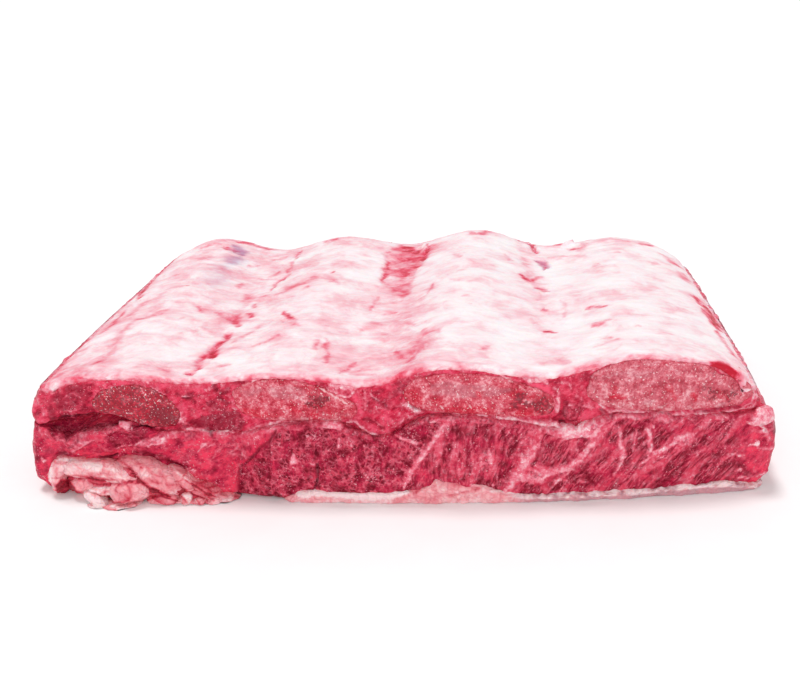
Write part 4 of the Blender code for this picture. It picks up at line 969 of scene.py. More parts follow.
    (2.6, dict(tone=-0.45), (115.5, 11.5, 120, 9.5, 124.5, 8.5)),
    (2.4, dict(tone=-0.4), (96, 12, 100, 8, 106, 6.5)),
    (0.69, 0.54, (102.1, 21.8, 102.9, 19, 105.1, 17.2, 108, 18.7, 109.2, 21.3, 111.5, 24.5)),
    (0.62, 0.56, (111.3, 15.6, 112.6, 14.4, 115.2, 13.7, 119.2, 14.5, 121.6, 16)),
    (0.6, dict(dark=0.4, lift=-0.6), (111.4, 17.9, 111.9, 15.3, 114.1, 14)),
    (2.18, 0.42, (117.5, 15.7, 121.4, 18.2)),
    (0.83, 0.56, (112.2, 7.7, 114, 10.9, 115.4, 12.5, 117.8, 14)),
    (1.38, 0.5, (109.9, 8, 112.8, 7.2)),
    (0.6, dict(tone=0.35), (96, 28.7, 100.9, 29.5, 104, 28.3, 102.7, 26.2, 99.5, 24.3, 97.4, 25.4,
     96, 28.7)),
    (0.92, 0.54, (97.7, 32, 98.9, 30.2)),
    (0.8, dict(tone=0.35), (104.2, 31.6, 108.4, 30.2)),
    (0.52, 0.63, (113.5, 23.9, 116.6, 27.5, 119.9, 30.4, 122.8, 31.3)),
    (0.52, 0.54, (109.4, 24.7, 112, 27.8, 115.7, 30.8)),
    (0.52, 0.5, (89.4, 24.9, 91.6, 28, 94.8, 31.1)),
    (0.52, 0.5, (68.3, 17.2, 70.5, 22.6, 71.7, 26.8)),
    (0.52, 0.5, (65.7, 11.7, 69.4, 16, 71, 22.5)),
    # pale and red lumps of the right end
    (0.69, dict(fat=0.85, lift=1.2), (123.6, 28.5, 127.2, 31.9, 129.5, 33.9, 131.9, 31.3, 132.5, 28.5,
     129.9, 27.2, 126.3, 26.8, 123.6, 28.5)),
    (0.6, dict(tone=0.3, dark=0.24, lift=-0.6), (128.3, 27.5, 129.7, 25.4, 130.9, 24.2)),
    (0.83, dict(fat=0.72, lift=0.6), (128.4, 26.4, 130.9, 24.1, 132.3, 21.2, 132.1, 19)),
    (0.72, dict(tone=0.5), (132.5, 23.6, 133.6, 20.7)),
    (0.69, dict(fat=0.54, lift=0.3), (126, 21.2, 128.9, 19.9, 128.5, 17.7, 132.8, 16.7)),
    (0.72, dict(tone=0.35, lift=0.4), (122.4, 18.2, 127.7, 17.2, 132.6, 15.6, 133.3, 10, 130.4, 8.6,
     127.7, 8.8, 123.1, 12, 122.4, 18.2)),
    (0.69, dict(fat=0.63, lift=0.3), (128.1, 9.2, 128.4, 7, 131.2, 6.1, 133.7, 7)),
    (2, dict(tone=-0.31), (116, 10.3, 122.5, 8.1, 126.9, 6)),
)
# What the sawn ribs show, in the same way, with red sponge as the first kind.
boneStrokes = (
    # first rib
    (1.4, dict(grey=0.75), (-108.4, 41.3, -102.6, 42.9, -96, 43.5, -91.5, 42.5, -87.3, 39.4, -84.7, 36.7)),
    (1.3, 1, (-100.1, 39.6, -99.1, 38)),
    (1.1, 0.95, (-92, 39.3, -90.7, 37.8)),
    (0.4, dict(pale=0.8), (-95.8, 40.1, -95.1, 39.9)),
    (1.8, 0.8, (-107, 35.2, -102, 34.3, -98, 34.6)),
    (1.6, 0.8, (-104.3, 31.7, -100, 31.8, -97.6, 30.9)),
    (0.4, dict(pale=1), (-98.4, 31.7, -97.9, 30.5)),
    (0.4, dict(pale=1), (-95.9, 31.2, -95, 30.5)),
    (3.78, dict(dark=0.75, grey=0.4), (-89.8, 35.1, -88.2, 32.8, -84.7, 31.4)),
    (1.6, 0.5, (-94.3, 36.2, -93.1, 31.2, -90.5, 29.7)),
    (1.3, 0.5, (-111.6, 36.1, -109.4, 35.2, -106.9, 33.3)),
    # second rib
    (1.6, dict(grey=0.8), (-58.9, 44.3, -56.1, 42.8, -51.4, 44)),
    (1, dict(grey=0.75), (-48.5, 44, -41.5, 45.3, -36.6, 44.3, -34.7, 42.2, -40.8, 41, -46.7, 41.9,
     -48.5, 44)),
    (3.51, dict(dark=0.95, red=0.5), (-34.7, 39.3, -31.4, 40, -28.1, 40.9)),
    (1.3, 1, (-33.6, 35.6, -33.3, 33.4, -34.4, 32.7)),
    (1.49, dict(red=1, dark=0.4), (-53.1, 37.5, -52.7, 35.8)),
    (1.49, dict(red=0.9, dark=0.3), (-41.1, 39.4, -40.5, 38.8)),
    (1.4, 0.75, (-42.1, 37, -38.1, 36)),
    (1.1, 0.8, (-27.7, 35.6, -26.4, 35.7)),
    (1.3, 0.7, (-58.2, 36.2, -54.4, 34.1, -49.3, 34.8)),
    (1.1, dict(grey=0.6, pale=0.3), (-56, 33.2, -48.5, 32.6, -38.3, 33.2, -35.3, 33.3)),
    (1.1, dict(grey=0.5, pale=0.3), (-25.3, 34.1, -19.2, 35.9)),
    (0.6, dict(pale=1), (-30.1, 45.5, -25.8, 42.3, -20.5, 38.8)),
    (0.5, dict(pale=0.5), (-57.8, 46, -50.7, 47.5, -41.3, 47.9, -35.4, 46.6)),
    # third rib
    (0.8, dict(grey=0.75, pale=0.15), (8.9, 46.3, 13.8, 47.3, 20.4, 46.4, 29.3, 45.7, 36, 44.7, 32, 42.8,
     24.9, 42.4, 19.5, 42, 13.7, 43.5, 9.7, 43.5, 8.9, 46.3)),
    (2.1, 0.8, (0.8, 44.9, 3.9, 41.6, 5.7, 40)),
    (1.4, 0.85, (9.2, 41, 12.9, 39.6)),
    (0.5, dict(pale=1), (7.9, 40.2, 8.8, 38.5)),
    (0.5, dict(pale=1), (11.8, 38.7, 12.8, 37.5)),
    (0.4, dict(pale=1), (21.2, 40.1, 23.2, 37.4)),
    (0.6, dict(pale=0.9), (34.3, 41.7, 35.2, 40.9)),
    (1.1, 0.8, (24.8, 43.9, 25.8, 42.3)),
    (1.6, 0.75, (13.7, 37.5, 20.4, 36.9, 29.4, 37.3)),
    (3.24, dict(dark=1, red=0.6), (37.2, 39, 40.1, 40.6, 42.8, 39)),
    (3.78, dict(dark=1, red=0.6), (45.1, 38.8, 48.3, 38.2, 50.7, 36.2)),
    (1.6, 1, (38.6, 35.6, 42.9, 35, 45.3, 35.5)),
    (1.3, 1, (36.5, 42.7, 38.7, 43.2, 40.7, 43.5)),
    (1, dict(grey=1, pale=0.5), (32.6, 35.2, 34.4, 35.3)),
    (0.5, dict(pale=0.7), (29.2, 49.6, 35, 49, 38.2, 47, 41.4, 44.5, 44.6, 42.4)),
    # fourth rib
    (1.6, 1, (74, 44.6, 73.7, 42.1, 77.2, 40.8, 71.9, 41.1)),
    (1, 1, (81.9, 41.9, 82.7, 41.5)),
    (0.6, 0.9, (86.5, 43.1, 87.2, 41.4)),
    (1.1, 1, (91.8, 42.9, 94.5, 41.6, 93.7, 44.8)),
    (1.3, 1, (102.3, 40.7, 103.6, 37.9)),
    (0.8, 0.8, (95, 40.1, 96.2, 38.3)),
    (3.5, 0.45, (96.7, 47.8, 104.4, 44.2)),
    (3.2, dict(dark=0.9, red=0.5), (106.2, 42.9, 109.7, 40.3, 108, 38.2)),
    (3.4, dict(dark=0.9, red=0.5), (114.6, 40.9, 117.0, 39.2, 118.6, 40.3)),
    (1.4, 0.7, (111.5, 41.8, 113.8, 39, 115.9, 37.8)),
    (1, dict(grey=0.8, pale=0.6), (84.4, 38.5, 88.4, 38.2)),
    (1, dict(grey=0.6, pale=0.9), (101, 35.8, 102.8, 34.9)),
    (0.8, dict(grey=0.9, pale=0.4), (112.2, 35.3, 115.2, 36.1)),
    (1, dict(pale=0.5), (69.1, 38.6, 80.7, 37, 95.4, 35.3)),
    (1.3, dict(pale=0.35, grey=0.3), (70.3, 49, 80.7, 49.6, 89.4, 48.2)),
    (0.4, dict(pale=0.8), (76.3, 52.3, 77.8, 50.7)),
    (0.3, dict(pale=0.8), (92.3, 49.1, 93.3, 48)),
    (0.3, dict(pale=0.8), (85.2, 41.6, 84.8, 40.6)),
)

# Outline of each sawn face against its ellipse, at 16 angles from the right end upwards and round.
ribShares = (
    (0.90, 0.84, 0.89, 0.98, 1.02, 1.00, 1.02, 0.99, 0.98, 0.88, 0.79, 0.78, 0.85, 1.00, 1.21, 1.06),
    (0.83, 0.72, 0.70, 0.76, 0.88, 1.03, 1.08, 1.06, 1.00, 1.05, 1.14, 1.09, 1.00, 1.11, 1.22, 1.05),
    (0.85, 0.72, 0.70, 0.79, 0.88, 1.02, 1.07, 0.97, 0.94, 0.94, 0.93, 0.85, 0.86, 1.06, 1.26, 1.02),
    (0.96, 0.84, 0.77, 1.02, 1.22, 1.46, 1.30, 1.08, 1.03, 1.00, 0.98, 0.90, 0.92, 0.96, 1.15, 1.06),
)
# Centre, half width and half height of each rib at the front, then at the back.
ribFaces = (
    ((-97.5, 35.6, 15.8, 7.9), (-105.5, 37.2, 10.5, 7.2)),
    ((-39.0, 39.8, 22.0, 8.0), (-49.0, 40.8, 16.5, 8.2)),
    ((25.5, 42.0, 28.0, 8.6), (21.5, 43.4, 20.0, 9.0)),
    ((95.0, 41.8, 30.0, 9.0), (90.0, 40.8, 20.5, 8.6)),
)


def ribShare(index, angle):
    # the outline's share at an angle, in straight steps between the 16 given ones
    shares = ribShares[index]
    return np.interp(angle % (2 * math.pi), np.arange(17) * (math.pi / 8), shares + shares[:1])


def ribAt(index, v):
    # a rib's centre and half sizes, straight from its front to its back row
    front, back = (np.array(row) for row in ribFaces[index])
    return (f + (b - f) * v for f, b in zip(front, back))


def ribDistance(x, z, v):
    # share of the way out from a rib's middle to its outline, for the nearest rib: below 1 inside it
    nearest = np.full(x.shape, np.inf)
    for index in range(len(ribFaces)):
        x0, z0, halfWidth, halfHeight = ribAt(index, v)
        across, up = (x - x0) / halfWidth, (z - z0) / halfHeight
        nearest = np.minimum(nearest, np.hypot(across, up) / ribShare(index, np.arctan2(up, across)))
    return nearest


# The fat under the slab: a thin cap with a hump at its front, which starts with a small tongue.
cap = dict(
    size=(250.0, 5.0),  # a plain width and height, for its columns and rows
    columns=(480, 90),  # along the front and along a side
    step=0.35,  # row height up its sides
    edge=(0.6, 1.6),  # radius of its lower and upper edges
    under=(0.7, 1.6, 3.0, 5.0, 9.0, 18.0, 40.0, 89.0),  # rows of the underside, in from the edge
    over=(0.7, 1.6, 3.0, 5.0, 9.0, 18.0, 40.0, 89.0),
    profile=((-44, 3.6), (-38, 4.6), (-25, 4.0), (-8, 4.4), (1, 5.2), (8, 8.6), (13, 10.4), (20, 8.8),
             (27, 7.6), (35, 4.2), (45, 2.6), (76, 2.4), (92, 2.8), (112, 3.7), (125, 2.6), (134, 1.3)),
    frontDepth=14,  # how far back the profile reaches
    thickness=4.0,  # behind that
    lip=0.8,  # thickness at its left edge, and how far in it rises from there
    lipWidth=7.0,
    leftFront=-46.0,
    leftBack=-131.0,
    level=0.08,
    forward=2.0,
    strokes=(  # with redness as the first kind
        (1.4, dict(red=-0.5, lift=0.7), (-41, 4.6, -39, 3, -36, 2.4)),
        (1.7, dict(red=-0.6, lift=0.6), (-36, 3.6, -20, 2.8, -5, 3.4, 0, 4)),
        (0.6, dict(red=-0.3, lift=0.4), (30, 4, 50, 2.6, 80, 2.8, 110, 3, 130, 4)),
        # the redder strokes that dent the hump's grooves paint their shade
        (0.7, dict(red=0.3, lift=-0.7), (2, 3.5, 4.5, 6, 8, 8.5)),
        (1.6, dict(red=-0.12, lift=0.7), (10, 8.5, 13, 5, 20, 3)),
        (1.0, dict(red=0.28, lift=-0.5), (12, 9.5, 18, 8, 26, 5)),
        (0.6, dict(red=0.3, lift=-0.5), (14, 2, 20, 3.6, 27, 6)),
    ),
)


def capLeft(v):
    # its left edge swings out from its front to its back place over the first 0.3 of the depth
    share = smoothStep(0, 0.3, v)
    return cap["leftFront"] + (cap["leftBack"] - cap["leftFront"]) * share + cornerInset(0.0, v)


def capThickness(x, v):
    # the front's profile fades to the plain thickness, and the left edge rises with a root
    front = curveOf(x, cap["profile"])
    body = cap["thickness"] + (front - cap["thickness"]) * bell(v * slab["depth"], cap["frontDepth"])
    t = np.clip((x - capLeft(v)) / cap["lipWidth"], 0, 1)
    return cap["lip"] + (body - cap["lip"]) * np.sqrt(t)


def placeCap(u, v, w):
    # from the left edge to the slab's right side, and up from the table by its thickness
    start = capLeft(v)
    x = start + (rightX(cap["level"] * w, v) - start) * u
    return np.stack((x, planY(x, v, cap["forward"]), capThickness(x, v) * w), axis=-1)


u, v, w, faces = wrapBlock(cap)
points = placeCap(u, v, w)
x, z = onFrontPlane(points, v, 260)
cuts = onCuts(v)
fields = brush(x, z, cap["strokes"], ("red", "lift"))
strip = smoothStep(34, 48, x) * smoothStep(5, 2, 40 * v)  # silverskin along the front, right of the hump
fromUpper = capThickness(x, v) - points[..., 2]  # white beads line the strip's upper edge
beads = smoothStep(1.5, 0.5, fromUpper) * (0.6 + fractalNoise(points, 2.2, 279, 2)) * strip
greyed = strip * np.clip(0.75 - 0.9 * beads, 0, 1)
hump = bell(x - 16, 12) * cuts
relief = 0.5 * fractalNoise(points, 10.0, 271) + (0.3 + 0.3 * hump) * fractalNoise(points, 3.0, 275)
relief = (relief + fields["lift"] * cuts + 0.4 * beads) * np.where(w > 0, 1, 0.4)
points = raised(points, relief)
points[..., 2] = np.maximum(points[..., 2], 0)
attributes = dict(red=fields["red"] * cuts - 0.4 * np.clip(beads, 0, 1), grey=greyed)
makePiece("fatUnderneath", points, faces, attributes, beefFat, ["fat_cap"])


# The thick muscle under the ribs, with a darker one in its middle.
muscle = dict(
    size=(275.0, 30.0),
    columns=(560, 90),
    step=0.65,
    edge=(2.5, 1.0),
    under=(0.7, 1.5, 2.6, 4.0, 9.0, 30.0, 89.0),
    over=(0.7, 1.5, 2.6, 4.0, 6.5, 10.0, 16.0, 30.0, 60.0, 89.0),
    # x along its front, and how far it bulges there
    bulge=((-140, -1), (-115, -2), (-70, 0), (-62, -3), (-52, 1.5),
           (-20, 3), (15, 1.8), (60, 1.2), (100, 1.5), (137, 0)),
    base=0.3,  # its underside above the table
    belowSeam=0.1,
    aboveCap=1.2,  # how far its underside stays above the fat cap's
    pocket=dict(centre=-118.0, halfWidth=13.0, depth=16.0, drop=8.5),
    # z and x of the dark muscle's left and right sides
    leanStart=((1, -63.5), (11.7, -62.1), (19.3, -54.7), (23.1, -49.3), (31, -44)),
    leanEnd=((0, -3), (6.6, -0.7), (12.5, 1.5), (18.8, 6.6), (27.1, 11.2), (35.6, 15.9)),
)


def pocketFall(x, v):
    # drop of the pocket under the first rib: a flat-topped bell across, and a bell back from the front
    pocket = muscle["pocket"]
    across = np.exp(-(((x - pocket["centre"]) / pocket["halfWidth"]) ** 4))
    return pocket["drop"] * across * bell(v * slab["depth"], pocket["depth"])


def placeMuscle(u, v, w):
    # from its base up to the seam, with its front bulging forward at half height
    x = acrossSlab(u, slab["seamLevel"] * w, v)
    high = seamZ(x, v) - muscle["belowSeam"] - pocketFall(x, v)
    bulge = curveOf(x, muscle["bulge"]) * np.sin(math.pi * np.clip(w, 0.1, 0.9))
    return np.stack((x, planY(x, v, bulge), muscle["base"] + (high - muscle["base"]) * w), axis=-1)


def grainOf(points, x):
    # places measured along and across the threads, which lie flat at the left and lean over to the right
    lean = np.interp(x, (10, 60, 110), (0.09, 0.58, 0.84))
    left = np.stack((points[..., 2] - 0.35 * x, x / 3.5, points[..., 1]), axis=-1)
    right = np.stack((x - (points[..., 2] - 16) * lean, points[..., 2] / 3.5, points[..., 1]), axis=-1)
    return np.where(x[..., None] < -62, left, right) * mm


u, v, w, faces = wrapBlock(muscle)
points = placeMuscle(u, v, w)
x, z = onFrontPlane(points, v, 60)
cuts = onCuts(v)
fields = brush(x, z, cutStrokes, ("fat", "dark", "tone", "lift"))
# the dark muscle starts past its left side and ends past its right side
pastStart = smoothStep(-1.2, 1.2, x - curveOf(z, muscle["leanStart"]))
pastEnd = smoothStep(-1.2, 1.2, x - curveOf(z, muscle["leanEnd"]))
rightEnd = smoothStep(117, 125, x)
tone = 0.68 - 0.5 * pastStart + 0.06 * pastEnd + 0.32 * rightEnd
# fat along the seam and on the sides, and faint wisps of it on the cuts
fromSeam = seamZ(points[..., 0], v) - points[..., 2] + 0.7 * fractalNoise(points, 3.0, 88, 2)
seamFat = smoothStep(2.4, 0.9, fromSeam) * smoothStep(-80, -74, x)
seamFat = seamFat * (0.5 + 0.35 * fractalNoise(points, 9.0, 90)) * (1 - 0.75 * bell(x + 4, 8)) * cuts
sideFat = 0.55 + 0.5 * fractalNoise(points * (1.0, 0.7, 1.6), 11.0, 81, 4)
sideFat = sideFat * (np.minimum(u, 1 - u) < 0.02) * (1 - cuts)
flesh = fractalNoise(points, 3.4, 84, 3)
wisps = fractalNoise(points * (1.0, 1.0, 2.4), 7.0, 86, 3)
wisps = np.clip(wisps - 0.12, 0, 1) * (0.25 + 1.1 * rightEnd + 0.5 * (1 - pastStart)) * cuts
attributes = dict(
    fat=np.maximum.reduce((fields["fat"] * cuts + wisps, seamFat, sideFat)),
    # dark: painted shade in the cuts' creases, slits and pits
    dark=fields["dark"] * cuts,
    tone=tone + fields["tone"] * cuts + 0.45 * flesh + 0.15 * (1 - cuts),
    net=pastStart * (1 - 0.8 * pastEnd),
    streak=pastEnd * (1 - 0.6 * rightEnd) + 0.35 * (1 - pastStart),
    grain=grainOf(points, x),
)
lumps = 0.6 + 0.8 * (1 - pastStart) + 0.5 * rightEnd + 0.6 * (1 - cuts)
relief = lumps * (0.7 * fractalNoise(points, 14.0, 3) + 0.3 * fractalNoise(points, 4.0, 11))
relief = relief + 0.22 * flesh + (fields["lift"] + 0.35 * fields["fat"]) * cuts + 0.9 * seamFat
points = raised(points, relief)
overCap = smoothStep(-1, 3, points[..., 0] - capLeft(v))
points[..., 2] = np.maximum(points[..., 2], 0.1 + muscle["aboveCap"] * overCap)
makePiece("thickMuscle", points, faces, attributes, leanBeef, ["lower_muscle"])


# The layer that holds the ribs. Its front cut stands a little behind the thick muscle's.
ribMeat = dict(
    size=(272.0, 20.0),
    columns=(560, 90),
    step=0.65,
    edge=(1.0, 1.0),
    under=(0.7, 1.6, 3.0, 9.0, 30.0, 89.0),
    over=(0.7, 1.6, 3.0, 5.0, 9.0, 15.0, 22.0, 30.0, 38.0, 46.0, 54.0, 62.0, 70.0, 78.0, 86.0, 89.0),
    setback=2.2,
    belowSeam=0.3,
    belowTop=(1.3, 0.6),  # in the middle and at the edges
    sag=dict(centre=-124, halfWidth=12, depth=12, drop=1.8),  # of its underside, over the pocket
)


def placeRibMeat(u, v, w):
    # from the seam, where it sags over the pocket, up to just under the membrane
    x = acrossSlab(u, slab["seamLevel"] + (slab["membraneLevel"] - slab["seamLevel"]) * w, v)
    sag = ribMeat["sag"]
    fall = sag["drop"] * bell(x - sag["centre"], sag["halfWidth"]) * bell(v * slab["depth"], sag["depth"])
    low = seamZ(x, v) - ribMeat["belowSeam"] - fall
    middle, edge = ribMeat["belowTop"]
    high = topZ(x, v) - middle + (middle - edge) * smoothStep(12, 1, fromEdges(u, v))
    return np.stack((x, planY(x, v, -ribMeat["setback"]), low + (high - low) * w), axis=-1)


u, v, w, faces = wrapBlock(ribMeat)
points = placeRibMeat(u, v, w)
x, z = onFrontPlane(points, v, 160)
cuts = onCuts(v)
fields = brush(x, z, cutStrokes, ("fat", "dark", "tone", "lift"))
# paler under the membrane and round the ribs, with films of fat
fromTop = topZ(points[..., 0], v) - points[..., 2] + 0.8 * fractalNoise(points, 3.5, 171, 2)
nearTop = smoothStep(2.6, 0.6, fromTop)
fromRib = ribDistance(points[..., 0], points[..., 2], v) + 0.05 * fractalNoise(points, 3.0, 175, 2)
besideRib = bell(fromRib - 1.04, 0.07) * cuts
sideFat = (0.6 + 0.5 * fractalNoise(points * (1.0, 0.7, 1.6), 10.0, 181, 4)) * (1 - cuts)
flesh = fractalNoise(points, 3.0, 184, 3)
film = 0.45 * np.maximum(flesh - 0.15, 0) * smoothStep(-0.3, 0.3, fractalNoise(points, 12.0, 188))
attributes = dict(
    fat=np.maximum((fields["fat"] + film) * cuts + 0.3 * besideRib + 0.55 * nearTop, sideFat),
    # dark: painted shade in the cuts' creases, slits and pits
    dark=fields["dark"] * cuts,
    tone=0.55 + fields["tone"] * cuts + 0.5 * flesh + 0.3 * nearTop + 0.2 * besideRib + 0.15 * (1 - cuts),
    net=0.45 + 0 * x,
    streak=0.3 + 0 * x,
    grain=np.stack((z - 0.5 * x, x / 3.5, points[..., 1]), axis=-1) * mm,
)
relief = 0.55 * fractalNoise(points, 9.0, 21) + 0.3 * fractalNoise(points, 3.0, 31)
relief = relief + 0.28 * flesh + (fields["lift"] + 0.35 * fields["fat"]) * cuts
inRib = smoothStep(1.05, 0.93, fromRib) * cuts
points = raised(points, relief * (1 - inRib) - 0.5 * inRib)
makePiece("ribMeat", points, faces, attributes, ribMeatBeef, ["rib_meat"])


# The ribs, each one closed surface: rings over the front cut, along the rib and over the back cut.
ribs = dict(
    cover=(0.2, 1.6),  # least meat over and under a rib, at the front and at the back
    proud=0.35,  # how far its faces stand out of the cuts
    sides=260,
    rings=36,
    lengths=22,  # rings along it, between its faces
    redness=(1.0, 0.08, 0.04, -0.3),  # from the first rib to the fourth
    greyness=(0.0, 0.05, 0.1, 0.45),
    pitted=(0.75, 0.28, 0.25, 0.12),
)


def placeRib(index, angle, v, share):
    # the ellipse drawn in and out by its shares, kept inside the rib layer; share 0 is its middle
    x0, z0, halfWidth, halfHeight = ribAt(index, v)
    reach = ribShare(index, angle)
    x = x0 + halfWidth * reach * np.cos(angle)
    z = z0 + halfHeight * reach * np.sin(angle)
    cover = ribs["cover"][0] + (ribs["cover"][1] - ribs["cover"][0]) * v
    z = np.clip(z, seamZ(x, v) + 0.4 + cover, topZ(x, np.clip(v, 0.03, 0.9)) - 1.4 - cover)
    x, z = x0 + (x - x0) * share, z0 + (z - z0) * share
    y = planY(x, v, -ribMeat["setback"]) + ribs["proud"] * ((v == 1) * 1.0 - (v == 0) * 1.0)
    return np.stack((x, y, z), axis=-1)


for index in range(len(ribFaces)):
    angle = np.arange(ribs["sides"]) / ribs["sides"] * 2 * math.pi
    disc = np.linspace(0.02, 1.0, ribs["rings"])
    length = np.linspace(0.0, 1.0, ribs["lengths"] + 2)[1:-1]
    share = np.concatenate((disc, 0 * length + 1, disc[::-1]))[:, None] + 0 * angle
    v = np.concatenate((0 * disc, length, 0 * disc + 1))[:, None] + 0 * angle
    angle = angle[None, :] + 0 * v
    points = placeRib(index, angle, v, share)
    ragged = share**3 * (0.35 * fractalNoise(points, 5.0, 141) + 0.2 * fractalNoise(points, 1.8, 145, 2))
    points = points + ragged[..., None] * np.stack((np.cos(angle), 0 * angle, np.sin(angle)), axis=-1)
    x, z = onFrontPlane(points, v, 151)
    fields = brush(x, z, boneStrokes, ("red", "dark", "pale", "grey"))
    sponge = fractalNoise(points, 2.4, 41, 3)
    lower = smoothStep(0.3, -0.7, share * np.sin(angle))
    fields["red"] = fields["red"] + ribs["redness"][index] + 0.3 * lower + 0.45 * sponge
    fields["grey"] = fields["grey"] + ribs["greyness"][index]
    fields["dark"] = fields["dark"] * (0.75 + 0.5 * sponge) + ribs["pitted"][index]
    fields["pale"] = fields["pale"] + 0.6 * smoothStep(0.3, 0.7, fractalNoise(points, 1.3, 47, 1)) * lower
    relief = 0.25 * sponge - 0.5 * fields["dark"] + 0.2 * fields["pale"]
    points = raised(points, relief - 0.1 * smoothStep(0.93, 1.0, share))
    fields["rim"] = smoothStep(0.8, 0.98, share)
    name, node, faces = f"ribBone{index + 1}", f"rib_bone_{index + 1}", roundFaces(*share.shape)
    makePiece(name, points, faces, fields, sawnRib, [node])


